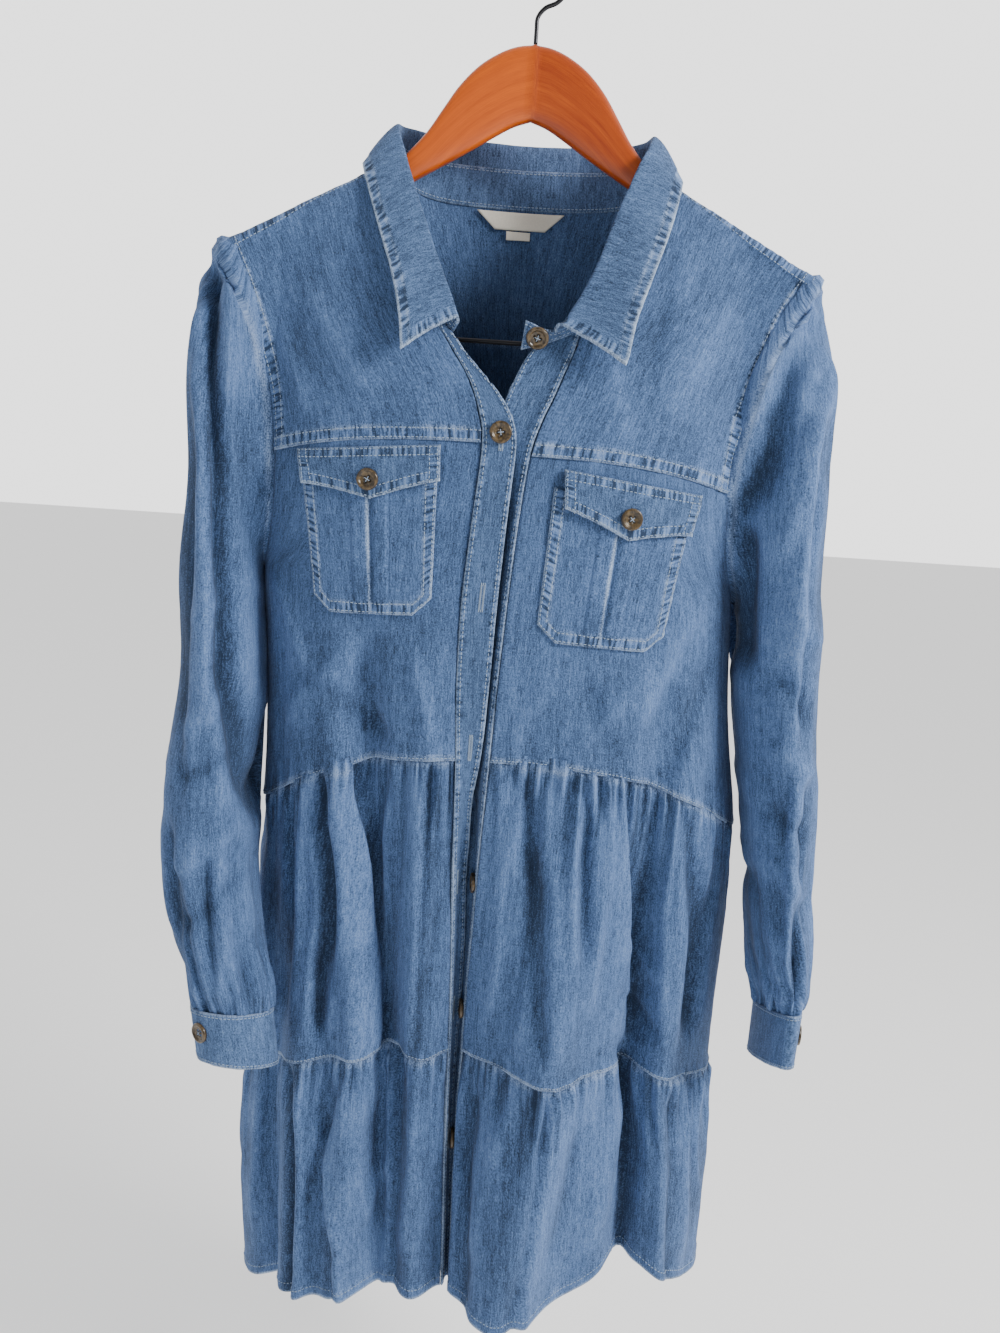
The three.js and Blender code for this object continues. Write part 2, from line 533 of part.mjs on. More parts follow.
/** The whole back from its neck seam and shoulders to the waist seam. */
function backAt(p, v) {
  if (v >= ARM_SHARE) {
    return backAcross(p, mix(BACK_LEVEL, SEAM_WAIST + GAP / 2, (v - ARM_SHARE) / (1 - ARM_SHARE)));
  }
  const t = v / ARM_SHARE;
  const a = backTop(p);
  const b = backAcross(p, BACK_LEVEL);
  const c = Math.abs(2 * p - 1);
  const shoulder = ease((c - NECK_SHARE * 0.85) / 0.12);
  const z = mix(a.z, b.z, t);
  const side = p < 0.5 ? 'right' : 'left';
  const sign = p < 0.5 ? 1 : -1;
  const arm = ARMHOLE[side](mix(SHOULDER.tipZ, b.z, t));
  const bow = sign * (arm - mix(SHOULDER.tip, Math.abs(backAcross(p < 0.5 ? 0 : 1, BACK_LEVEL).x), t));
  const x = mix(a.x, b.x, t) + bow * c ** 2;
  const rise = RIDGE_RISE * shoulder;
  const y = a.y + rise * quarterRound(a.z - z) + (b.y - a.y - rise) * forward(t);
  return new THREE.Vector3(x, y, z);
}

function bodiceBack() {
  const down = [0, 0.015, 0.06, 0.16, 0.3, 0.4, 0.5, 0.6, 0.68, 0.84, 1];
  add('bodice_back', wall(backAt, grid(down, steps(22))), denim(CLOTH_BLUE));
}

function tiers() {
  const ranges = [
    { name: 'tier2', top: SEAM_WAIST - shrink, low: SEAM_TIER + shrink },
    { name: 'tier3', top: SEAM_TIER - shrink, low: HEM },
  ];
  for (const { name, top, low } of ranges) {
    const length = top - low;
    const rows = [
      { d: 0 }, { d: 7 }, { d: 28 }, { d: GATHERS.fade, share: 0.5 },
      { d: mix(GATHERS.fade, length, 0.3), share: 0.5 }, { d: mix(GATHERS.fade, length, 0.65), share: 0.5 },
      { d: length, share: 0.5 },
    ];
    const shared = { top, low, rows };
    const over = (level) => girthOfX(seamX(OVER, level) - BAND_CLEAR, level);
    const under = (level) => girthOfX(seamX(UNDER, level) + BAND_CLEAR, level);
    add(`${name}_front_left`, bodyPanel({
      ...shared, from: () => -QUARTER + shrink, to: over, count: 2 * GATHERS.front, gathers: GATHERS.front,
    }), denim(CLOTH_BLUE));
    add(`${name}_front_right`, bodyPanel({
      ...shared, from: under, to: () => QUARTER - shrink, count: 2 * GATHERS.front, gathers: GATHERS.front,
    }), denim(CLOTH_BLUE));
    const surfaceBack = bodyPanelBack({ ...shared, count: 2 * GATHERS.back, gathers: GATHERS.back });
    add(`${name}_back`, surfaceBack, denim(CLOTH_BLUE));
  }
}

function bodyPanelBack(options) {
  return bodyPanel({ ...options, from: () => QUARTER + shrink, to: () => 2 * HALF - QUARTER - shrink });
}


// Sleeves and cuffs

// Each section is an oval: its outer and inner points, its middle and half depth in Y.
// own says how far it has left the armhole's shape, and tilt how much higher its front is.
const SLEEVE = {
  left: [
    { outX: -208, outZ: -213, inX: -182, inZ: -441, y: -8, deep: 44, own: 0, tilt: 0 },
    { outX: -217, outZ: -221, inX: -183, inZ: -444, y: -10, deep: 47, own: 0.5, tilt: 0 },
    { outX: -227, outZ: -240, inX: -183, inZ: -449, y: -12, deep: 50, own: 0.85, tilt: 0 },
    { outX: -232, outZ: -276, inX: -182, inZ: -456, y: -14, deep: 51, own: 1, tilt: 0 },
    { outX: -234, outZ: -326, inX: -182, inZ: -466, y: -16, deep: 51, own: 1, tilt: 0 },
    { outX: -236, outZ: -385, inX: -181, inZ: -480, y: -18, deep: 51, own: 1, tilt: 0 },
    { outX: -239, outZ: -442, inX: -179, inZ: -501, y: -22, deep: 51, own: 1, tilt: 0 },
    { outX: -238, outZ: -508, inX: -178, inZ: -540, y: -28, deep: 50, own: 1, tilt: 0 },
    { outX: -241, outZ: -568, inX: -177, inZ: -585, y: -36, deep: 48, own: 1, tilt: 0 },
    { outX: -242, outZ: -620, inX: -176, inZ: -630, y: -46, deep: 45, own: 1, tilt: 0 },
    { outX: -238, outZ: -670, inX: -172, inZ: -678, y: -58, deep: 40, own: 1, tilt: 2 },
    { outX: -228, outZ: -712, inX: -163, inZ: -716, y: -71, deep: 35, own: 1, tilt: 4 },
    { outX: -216, outZ: -742, inX: -154, inZ: -744, y: -82, deep: 30, own: 1, tilt: 6 },
    { outX: -210, outZ: -761, inX: -151, inZ: -763, y: -88, deep: 26, own: 1, tilt: 7 },
    { outX: -204, outZ: -799, inX: -145, inZ: -805, y: -93, deep: 25, own: 1, tilt: 8 },
  ],
  right: [
    { outX: 207, outZ: -213, inX: 177, inZ: -445, y: -8, deep: 44, own: 0, tilt: 0 },
    { outX: 212, outZ: -221, inX: 178, inZ: -448, y: -10, deep: 47, own: 0.5, tilt: 0 },
    { outX: 221, outZ: -240, inX: 178, inZ: -453, y: -12, deep: 50, own: 0.85, tilt: 0 },
    { outX: 229, outZ: -276, inX: 179, inZ: -460, y: -13, deep: 51, own: 1, tilt: 0 },
    { outX: 235, outZ: -326, inX: 180, inZ: -470, y: -14, deep: 51, own: 1, tilt: 0 },
    { outX: 239, outZ: -385, inX: 182, inZ: -483, y: -16, deep: 51, own: 1, tilt: 0 },
    { outX: 243, outZ: -442, inX: 186, inZ: -503, y: -18, deep: 51, own: 1, tilt: 0 },
    { outX: 246, outZ: -508, inX: 191, inZ: -535, y: -20, deep: 50, own: 1, tilt: 0 },
    { outX: 249, outZ: -565, inX: 198, inZ: -578, y: -24, deep: 48, own: 1, tilt: 0 },
    { outX: 251, outZ: -620, inX: 206, inZ: -628, y: -30, deep: 46, own: 1, tilt: 0 },
    { outX: 252, outZ: -665, inX: 210, inZ: -670, y: -36, deep: 44, own: 1, tilt: 4 },
    { outX: 255, outZ: -705, inX: 217, inZ: -708, y: -42, deep: 44, own: 1, tilt: 10 },
    { outX: 253, outZ: -735, inX: 226, inZ: -738, y: -47, deep: 45, own: 1, tilt: 16 },
    { outX: 249, outZ: -753, inX: 229, inZ: -756, y: -50, deep: 46, own: 1, tilt: 18 },
    { outX: 247, outZ: -796, inX: 229, inZ: -800, y: -52, deep: 46, own: 1, tilt: 20 },
  ],
};
const CUFF_TOP = 13;
const CUFF_LOW = 14;
const CAP_PUFF = { waves: 16, size: 2, length: 1 };
const CUFF_GATHER = { waves: 12, size: 2, length: 0.8 };

/** The edge of the armhole, once round: tip (0), down the front to the underarm (0.5), up the back (1). */
function armholeAt(side, turn) {
  const sign = side === 'left' ? -1 : 1;
  const Side = side === 'left' ? 'Left' : 'Right';
  const front = turn <= 0.5;
  const f = front ? turn * 2 : (1 - turn) * 2;
  const upperShare = 0.6;
  const seam = SEAM_YOKE[side];
  const turnAt = (level) => Math.asin(clamp(SECTIONS[`reach${Side}`](level)));
  if (f < upperShare) {
    const t = f / upperShare;
    if (front) {
      const endZ = bodyAt(sign * turnAt(seam), seam).z;
      const z = mix(SHOULDER.tipZ - 1, endZ, t);
      return chestAt(sign * ARMHOLE[side](z), z);
    }
    return backAt(side === 'left' ? 1 : 0, t * ARM_SHARE);
  }
  const t = (f - upperShare) / (1 - upperShare);
  if (front) {
    const level = mix(seam, UNDERARM, t);
    return bodyAt(sign * turnAt(level), level);
  }
  const level = mix(BACK_LEVEL, UNDERARM, t);
  return backAcross(side === 'left' ? 1 : 0, level);
}

function sleeveSurface(side) {
  const sign = side === 'left' ? -1 : 1;
  const table = columns(SLEEVE[side].map((row, at) => ({ at, ...row })), 'at');
  return (u, at) => {
    const turn = ((u % 1) + 1) % 1;
    const angle = 2 * Math.PI * turn;
    const out = (Math.cos(angle) + 1) / 2;
    const oval = new THREE.Vector3(
      mix(table.inX(at), table.outX(at), out),
      table.y(at) - table.deep(at) * Math.sin(angle),
      mix(table.inZ(at), table.outZ(at), out) + table.tilt(at) * Math.sin(angle),
    );
    const own = table.own(at);
    if (own >= 1) return oval;
    const hole = armholeAt(side, turn);
    const under = 1 - out;
    hole.x += sign * (1.5 + 0.6 * under ** 3);
    hole.z -= 0.6 + 2.2 * under ** 3;
    return hole.lerp(oval, own);
  };
}

/** A sleeve with a gathered cap and gathers into its cuff. */
function sleeve(side) {
  const plain = sleeveSurface(side);
  const sign = side === 'left' ? 1 : -1;
  const surface = (u, at) => {
    const p = plain(u, at);
    const capShare = clamp(Math.cos(2 * Math.PI * u) * 2 - 0.6);
    const cap = CAP_PUFF.size * capShare * bell(at - 1, CAP_PUFF.length) * clamp(at * 3);
    const left = CUFF_TOP - at;
    const cuff = CUFF_GATHER.size * clamp(left * 3) * bell(left - 0.4, CUFF_GATHER.length);
    const middle = plain(u, at).add(plain(u + 0.5, at)).multiplyScalar(0.5);
    const away = p.clone().sub(middle).normalize();
    const wave = cap * Math.cos(2 * Math.PI * CAP_PUFF.waves * u) + cuff * Math.cos(2 * Math.PI * CUFF_GATHER.waves * u);
    return p.addScaledVector(away, wave);
  };
  const turned = (f) => (u, v) => f(sign > 0 ? u : -u, v * CUFF_TOP);
  const rows = [
    { at: 0, count: 32 }, { at: 0.4, count: 32 }, { at: 1, count: 32 }, { at: 1.7, count: 32 },
    ...[2.6, 3.6, 4.8, 6, 7.2, 8.4, 9.5, 10.6].map((at) => ({ at, count: 16 })),
    { at: 11.7, count: 24 }, { at: 12.5, count: 24 }, { at: CUFF_TOP - 0.012, count: 24 },
  ];
  return wall(turned(surface), rows.map(({ at, count }) => ({ v: at / CUFF_TOP, us: steps(count) })), {
    closed: true, plain: turned(plain),
  });
}

function cuff(side) {
  const plain = sleeveSurface(side);
  const sign = side === 'left' ? 1 : -1;
  const surface = (u, v) => plain(sign * u, mix(CUFF_TOP, CUFF_LOW, v));
  return wall(surface, grid([0, 0.5, 1], steps(24)), { closed: true, out: 0.4, into: BAND - 0.4 });
}

// Collar

/** The neck seam, which lies on the fronts where it comes forward of the shoulders. */
function neckAt(at) {
  const p = point('n', at);
  const forwardShare = clamp((Math.abs(at - STATIONS / 2) - 3.2) / 0.8);
  return new THREE.Vector3(p.x, mix(p.y, chestAt(p.x, p.z).y + 0.8, forwardShare), p.z);
}

function standSurface(at, v) {
  const n = neckAt(at);
  const top = n.clone().lerp(point('r', at), STAND_SHARE);
  return n.lerp(top, mix(0.07, 0.97, v));
}

/** The fall: up inside from the stand, over the roll line and down to the outer edge. */
function fallSurface(at, v) {
  const n = neckAt(at);
  const r = point('r', at);
  const e = point('e', at);
  const up = r.clone().sub(n).normalize();
  const away = e.clone().sub(r).setZ(0).normalize();
  const inner = n.clone().lerp(r, STAND_SHARE + 0.03);
  const low = e.clone().sub(r);
  const curve = new THREE.CatmullRomCurve3([
    inner,
    r.clone().addScaledVector(up, -2.5),
    r.clone().addScaledVector(away, 2.2).addScaledVector(up, 1),
    r.clone().addScaledVector(away, 5).addScaledVector(low, 0.1),
    r.clone().addScaledVector(away, 4.5).addScaledVector(low, 0.5),
    e,
  ]);
  return curve.getPoint(clamp(v));
}

const HALF_BAND = BAND / 2;
function collar() {
  const fall = (u, v) => fallSurface(u * STATIONS, v);
  add('collar_fall', wall(fall, grid([0, 0.18, 0.32, 0.42, 0.55, 0.75, 1], steps(28)), {
    out: HALF_BAND, into: HALF_BAND,
  }), denim(CLOTH_LIGHT));
  const stand = (u, v) => standSurface(u * (STATIONS + 1), v);
  add('collar_stand', wall(stand, grid([0, 0.5, 1], steps(30)), { out: HALF_BAND, into: HALF_BAND }), denim(CLOTH_BLUE));
}

// Pockets, flaps, buttons and labels

// Corners of each pocket and flap in x and z, seen from the front.
const POCKETS = {
  left: { topA: [-143, -356], topB: [-47, -350], lowA: [-131, -462], lowB: [-47, -457] },
  right: { topA: [33, -363], topB: [130, -374], lowA: [28, -470], lowB: [118, -475] },
};
const FLAPS = {
  left: { topA: [-147, -349], topB: [-46, -340], lowA: [-140, -372], lowB: [-45, -364], point: 11 },
  right: { topA: [39, -351], topB: [137, -363], lowA: [41, -377], lowB: [131, -391], point: 12 },
};
const POCKET_LIFT = 0.6;
const POCKET_PLEAT = 1.3;
const FLAP_LIFT = POCKET_LIFT + CLOTH + POCKET_PLEAT + 0.5;
const FLAP_WALL = 1.7;
const CHAMFER = { share: 0.15, rise: 12 };

const corner = (box, u, v) => [0, 1].map((k) => mix(
  mix(box.topA[k], box.topB[k], u), mix(box.lowA[k], box.lowB[k], u), v,
));

/** A patch pocket with chamfered lower corners and a box pleat down its middle. */
function pocket(side) {
  const surface = (u, v) => {
    const lift = CHAMFER.rise * clamp(1 - Math.min(u, 1 - u) / CHAMFER.share);
    const [x, z] = corner(POCKETS[side], u, v);
    const p = frontAt(x, z + lift * v);
    const middle = Math.abs(u - 0.5);
    const pleat = POCKET_PLEAT * (1 - ease((middle - 0.12) / 0.025)) * (1 - bell(middle, 0.012));
    p.y -= pleat * ease((1 - v) / 0.12);
    return p;
  };
  const across = [0, 0.075, 0.15, 0.25, 0.35, 0.375, 0.475, 0.5, 0.525, 0.625, 0.65, 0.75, 0.85, 0.925, 1];
  return wall(surface, grid([0, 0.25, 0.5, 0.75, 0.9, 1], across), {
    out: POCKET_LIFT + CLOTH, into: -POCKET_LIFT,
  });
}

function flapSurface(side) {
  const box = FLAPS[side];
  return (u, v) => {
    const [x, z] = corner(box, u, v);
    const middle = clamp(1 - Math.abs(2 * u - 1));
    const p = frontAt(x, z - box.point * middle ** 1.3 * v);
    p.y -= mix(POCKET_LIFT, FLAP_LIFT, ease(v / 0.22));
    return p;
  };
}

const flap = (side) => wall(flapSurface(side), grid([0, 0.2, 0.5, 1], steps(10)), { out: FLAP_WALL, into: 0 });

/** A four-hole button's blank with a raised rim, its back at h = 0. */
function buttonShape() {
  const { radius, high } = BUTTON;
  const profile = [
    [0, 0], [radius - 1, 0], [radius, 1], [radius - 0.3, high - 0.5],
    [radius - 1.4, high], [radius - 2.8, high - 1], [0, high - 1],
  ];
  return new THREE.LatheGeometry(profile.map(([r, h]) => new THREE.Vector2(r, h)), 12);
}

function button(name, place, outward) {
  const mesh = add(name, buttonShape(), horn);
  mesh.position.copy(place);
  mesh.quaternion.setFromUnitVectors(new THREE.Vector3(0, 1, 0), outward.clone().normalize());
}

/**
 * Where a button's back sits on a surface at u and v, and the way it faces. The surface's u runs to
 * the right and its v down; wide and tall are the button's radius in each, and it clears all of that.
 */
function seatOn(surface, u, v, wide, tall) {
  const across = surface(u + wide, v).sub(surface(u - wide, v));
  const down = surface(u, v + tall).sub(surface(u, v - tall));
  const out = down.cross(across).normalize();
  const at = surface(u, v);
  const rises = [-1, -0.5, 0, 0.5, 1].flatMap((i) => [-1, -0.5, 0, 0.5, 1].map((j) => (
    Math.hypot(i, j) > 1.01 ? 0 : surface(u + i * wide, v + j * tall).sub(at).dot(out))));
  return { at: at.addScaledVector(out, Math.max(...rises)), out };
}

// The unfastened buttons stand on the under band; share is how far each is across it from its seam.
const UNDER_BUTTONS = [
  { z: -442, share: 0.4 },
  { z: -553, share: 0.46 },
  { z: -663, share: 0.4 },
  { z: -774, share: 0.4 },
  { z: -885, share: 0.4 },
];
const BAND_WIDE = 24;
const FASTENED = { x: -6, z: -329 };
const CLEAR = 0.7; // a button's back stands this far off its cloth

function buttons() {
  const radius = BUTTON.radius;
  const end = STATIONS + 1;
  const stand = seatOn((u, v) => standSurface(u * end, v), (STATIONS + 0.5) / end, 0.45, 0.01, 0.2);
  button('button_collar', stand.at.addScaledVector(stand.out, HALF_BAND + CLEAR + 0.6), stand.out);
  const top = seatOn((u, v) => frontAt(u, -v), FASTENED.x, -FASTENED.z, radius, radius);
  button('button_front_1', top.at.addScaledVector(top.out, 0.9 + CLEAR), top.out);
  UNDER_BUTTONS.forEach(({ z, share }, k) => {
    const row = rowAt(UNDER, z);
    const rowsHigh = rowAt(UNDER, z - radius) - row;
    const face = (u, v) => bandSurface(UNDER)(1 - u, v);
    const { at, out } = seatOn(face, 1 - share, row / BAND_ROWS, radius / BAND_WIDE, rowsHigh / BAND_ROWS);
    button(`button_front_${k + 2}`, at.addScaledVector(out, CLEAR), out);
  });
  for (const side of ['left', 'right']) {
    const { at, out } = seatOn(flapSurface(side), 0.5, 0.62, 0.08, 0.2);
    button(`button_pocket_${side}`, at.addScaledVector(out, FLAP_WALL + CLEAR), out);
    cuffButton(side);
  }
}

function cuffButton(side) {
  const surface = sleeveSurface(side);
  const turn = side === 'left' ? 0.14 : 0.13;
  const at = surface(turn, CUFF_TOP + 0.45);
  const across = surface(turn + 0.02, CUFF_TOP + 0.45).sub(surface(turn - 0.02, CUFF_TOP + 0.45));
  const down = surface(turn, CUFF_TOP + 0.7).sub(surface(turn, CUFF_TOP + 0.3));
  const out = down.cross(across).normalize();
  const middle = surface(0, CUFF_TOP + 0.45).add(surface(0.5, CUFF_TOP + 0.45)).multiplyScalar(0.5);
  if (out.dot(at.clone().sub(middle)) < 0) out.negate();
  button(`button_cuff_${side}`, at.addScaledVector(out, 1.2), out);
}

/** A label sewn inside the back below its neck seam, from half widths and heights. */
function label(name, { x, top, low, topHalf, lowHalf, thick }) {
  const surface = (u, v) => {
    const reach = mix(topHalf, lowHalf, v);
    const at = x + mix(-reach, reach, u);
    return new THREE.Vector3(at, LABEL_FACE.y - LABEL_FACE.bend * at ** 2, mix(top, low, v));
  };
  add(name, wall(surface, grid([0, 0.5, 1], steps(4)), { out: thick, into: 0 }), cream);
}

// Hanger

const WOOD = columns([
  { x: 0, top: -64.5, low: -113.5 },
  { x: 12, top: -66.5, low: -118 },
  { x: 24, top: -71.5, low: -125 },
  { x: 38, top: -81, low: -134 },
  { x: 51, top: -95, low: -142 },
  { x: 61, top: -110, low: -148 },
  { x: 72, top: -127, low: -154.5 },
  { x: 86, top: -143, low: -163.5 },
  { x: 98, top: -155.5, low: -171.5 },
  { x: 112, top: -163.5, low: -180.5 },
  { x: 150, top: -184.5, low: -203 },
  { x: 186, top: -205, low: -225 },
  { x: 197, top: -213.5, low: -225.5 },
], 'x');
const WOOD_THICK = 13;
const ARM_END = 197;

/** The one-piece pair of arms: a rounded bar carried from one end over the middle to the other. */
function arms() {
  const corners = [
    [-0.5, 0.2], [-0.5, 0.8], [-0.36, 0.95], [0, 1], [0.36, 0.95],
    [0.5, 0.8], [0.5, 0.2], [0.36, 0.05], [0, 0], [-0.36, 0.05],
  ];
  const oneArm = [0, 12, 24, 36, 47, 58, 69, 82, 97, 112, 131, 150, 168, 184, ARM_END];
  const xs = [...oneArm.slice(1).reverse().map((x) => -x), ...oneArm];
  const points = [];
  for (const x of xs) {
    const round = Math.abs(x) === ARM_END ? 0.7 : 1;
    for (const [across, up] of corners) {
      const top = WOOD.top(Math.abs(x));
      const low = WOOD.low(Math.abs(x));
      const squeezed = 0.5 + (up - 0.5) * round;
      points.push(new THREE.Vector3(x, armY(x) + across * WOOD_THICK * round, mix(low, top, squeezed)));
    }
  }
  const count = corners.length;
  const faces = [];
  for (let r = 0; r < xs.length - 1; r += 1) {
    for (let k = 0; k < count; k += 1) {
      const a = r * count + k;
      const b = r * count + ((k + 1) % count);
      faces.push(a, a + count, b, b, a + count, b + count);
    }
  }
  for (let k = 1; k < count - 1; k += 1) {
    faces.push(0, k, k + 1);
    const end = (xs.length - 1) * count;
    faces.push(end, end + k + 1, end + k);
  }
  const geometry = new THREE.BufferGeometry();
  geometry.setAttribute('position', new THREE.Float32BufferAttribute(points.flatMap((p) => p.toArray()), 3));
  geometry.setIndex(faces);
  geometry.computeVertexNormals();
  return geometry;
}

/** A rod carried along a path. */
function rod(path, thick, stepCount, sides) {
  const shape = new THREE.Shape(Array.from({ length: sides }, (_, k) => new THREE.Vector2(
    (Math.cos((2 * Math.PI * k) / sides) * thick) / 2, (Math.sin((2 * Math.PI * k) / sides) * thick) / 2,
  )));
  return new THREE.ExtrudeGeometry(shape, { steps: stepCount, bevelEnabled: false, extrudePath: path });
}

/** The hook: up from the wood, out to one side and round over the top to the other. */
function hook() {
  const radius = HOOK.inner + HOOK.wire / 2;
  const centre = -HOOK.inner;
  const from = -52;
  const to = 205;
  const ring = steps(12).map((t) => {
    const a = THREE.MathUtils.degToRad(mix(from, to, t));
    return new THREE.Vector3(radius * Math.cos(a), 0, centre + radius * Math.sin(a));
  });
  const stem = [[0, HOOK.stem + 0.3], [0, HOOK.stem + 9], [0.4, HOOK.stem + 17], [5, HOOK.stem + 23]];
  const path = new THREE.CatmullRomCurve3([...stem.map(([x, z]) => new THREE.Vector3(x, 0, z)), ...ring]);
  return rod(path, HOOK.wire, 30, 8);
}

/** The trouser bar: a thin rod below the arms, turned up into them at its ends. */
function bar() {
  const BAR = { reach: 163, z: -265.5, thick: 3.4, bend: 9 };
  const y = armY(BAR.reach);
  const top = WOOD.low(BAR.reach) - 1;
  const at = (x, z) => new THREE.Vector3(x, y, z);
  const side = (sign) => [
    at(sign * BAR.reach, top), at(sign * BAR.reach, BAR.z + BAR.bend), at(sign * BAR.reach, BAR.z),
    at(sign * (BAR.reach - BAR.bend), BAR.z),
  ];
  const [a, b, c, d] = side(-1);
  const [e, f, g, h] = side(1);
  const path = new THREE.CurvePath();
  path.add(new THREE.LineCurve3(a, b));
  path.add(new THREE.QuadraticBezierCurve3(b, c, d));
  path.add(new THREE.LineCurve3(d, h));
  path.add(new THREE.QuadraticBezierCurve3(h, g, f));
  path.add(new THREE.LineCurve3(f, e));
  return rod(path, BAR.thick, 44, 6);
}

add('placket_over', wall(bandSurface(OVER), grid(steps(28), steps(3)), { out: 0.9, into: BAND - 0.9 }),
  denim(CLOTH_LIGHT));
add('placket_under', wall(
  (u, v) => bandSurface(UNDER)(1 - u, v),
  grid(steps(28), [0, 0.25, 0.5, 0.75, 1]),
  { into: BAND },
), denim(CLOTH_LIGHT));
add('front_yoke_left', frontYoke('left'), denim(CLOTH_BLUE));
add('front_yoke_right', frontYoke('right'), denim(CLOTH_BLUE));
bodices();
tiers();
for (const side of ['left', 'right']) {
  add(`sleeve_${side}`, sleeve(side), denim(CLOTH_BLUE));
  add(`cuff_${side}`, cuff(side), denim(CLOTH_LIGHT));
  add(`pocket_${side}`, pocket(side), denim(CLOTH_BLUE));
  add(`pocket_flap_${side}`, flap(side), denim(CLOTH_LIGHT));
}
collar();
buttons();
label('neck_label', { x: -3, top: -165.5, low: -178, topHalf: 33, lowHalf: 19, thick: 0.8 });
label('size_tab', { x: -4, top: -179, low: -185, topHalf: 9, lowHalf: 9, thick: 0.6 });
add('hanger_arms', arms(), wood);
add('hanger_hook', hook(), steel);
add('hanger_bar', bar(), steel);

export default dress;
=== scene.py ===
"""A tiered denim shirt dress on a wooden hanger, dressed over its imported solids.

Shapes are worked out in millimetres and become metres in build(). x runs to the right of the picture, y away
from it and z up; "left" is the picture's left.
"""
import math

import bpy
import numpy as np
from mathutils import Matrix


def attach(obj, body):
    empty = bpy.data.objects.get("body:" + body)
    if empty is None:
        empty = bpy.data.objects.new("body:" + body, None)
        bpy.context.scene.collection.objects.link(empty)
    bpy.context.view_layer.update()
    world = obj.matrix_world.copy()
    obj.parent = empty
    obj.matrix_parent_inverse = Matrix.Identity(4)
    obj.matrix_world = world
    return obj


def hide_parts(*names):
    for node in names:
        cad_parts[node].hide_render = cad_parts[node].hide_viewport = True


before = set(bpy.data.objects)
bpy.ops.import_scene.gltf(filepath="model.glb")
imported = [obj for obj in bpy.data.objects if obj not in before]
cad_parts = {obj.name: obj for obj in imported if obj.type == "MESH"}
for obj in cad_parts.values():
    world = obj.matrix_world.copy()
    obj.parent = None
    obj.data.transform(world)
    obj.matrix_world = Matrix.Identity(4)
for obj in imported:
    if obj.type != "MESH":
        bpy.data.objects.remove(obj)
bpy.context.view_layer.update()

# Driving sizes, in mm
MM = 0.001
SEAM_YOKE = {"left": -337, "right": -344}
SEAM_WAIST = -563
SEAM_TIER = -806
HEM = -1010
UNDERARM = -416
SHOULDER = {"inner": 98, "inner_z": -150, "tip": 206, "tip_z": -211}
BAND_CLEAR = 1
RIDGE_RISE = 9.5
TUCK = 7  # how far one panel runs under the next at a seam
BUTTON = {"radius": 7.6, "high": 3}
HOOK = {"wire": 3, "inner": 20, "stem": -64}
STITCH = {"pitch": 3.0, "long": 2.3, "wide": 0.62, "high": 0.5}
SIGN = {"left": -1, "right": 1}


# Numbers, noise and tables

def mix(a, b, t):
    """The value a share t of the way from a to b."""
    return a + (b - a) * t


def ease(t):
    """0 to 1 with level ends: 3t² - 2t³."""
    t = np.clip(t, 0, 1)
    return t * t * (3 - 2 * t)


def bell(distance, width):
    """exp(-(distance / width)²)."""
    return np.exp(-((distance / width) ** 2))


def vec(x, y, z):
    """Points from three arrays or numbers."""
    return np.stack(np.broadcast_arrays(x, y, z), -1).astype(float)


def unit(v):
    """Each vector divided by its length."""
    return v / np.maximum(np.linalg.norm(v, axis=-1, keepdims=True), 1e-9)


def lattice(i, j, seed):
    """A fixed number from 0 to 1 for each whole place: the fraction of a large multiple of a sine."""
    h = np.sin(i * 127.1 + j * 311.7 + seed * 74.7) * 43758.5453
    return h - np.floor(h)


def noise(x, y=0.0, seed=0):
    """Smooth noise from -1 to 1: lattice numbers eased between the four corners of each cell."""
    x, y = np.broadcast_arrays(np.asarray(x, float), np.asarray(y, float))
    i, j = np.floor(x), np.floor(y)
    a, b = ease(x - i), ease(y - j)
    low = mix(lattice(i, j, seed), lattice(i + 1, j, seed), a)
    high = mix(lattice(i, j + 1, seed), lattice(i + 1, j + 1, seed), a)
    return 2 * mix(low, high, b) - 1


class Table:
    """Smooth curves through named columns of rows, read along the first column."""

    def __init__(self, names, *rows):
        rows = np.array(sorted(rows), float)
        count = len(rows)
        before = np.maximum(np.arange(count) - 1, 0)
        after = np.minimum(np.arange(count) + 1, count - 1)
        self.at = rows[:, 0]
        self.values = dict(zip(names.split()[1:], rows[:, 1:].T))
        reach = self.at[after] - self.at[before]
        self.slopes = {name: (ys[after] - ys[before]) / reach for name, ys in self.values.items()}

    def __call__(self, name, at):
        """A cubic between the two rows on each side, whose slopes join those rows' neighbours."""
        xs, ys, slopes = self.at, self.values[name], self.slopes[name]
        x = np.clip(at, xs[0], xs[-1])
        k = np.searchsorted(xs[1:-1], x)
        span = xs[k + 1] - xs[k]
        t = (x - xs[k]) / span
        bend = span * t * (1 - t) * (slopes[k] * (1 - t) - slopes[k + 1] * t)
        return mix(ys[k], ys[k + 1], t * t * (3 - 2 * t)) + bend


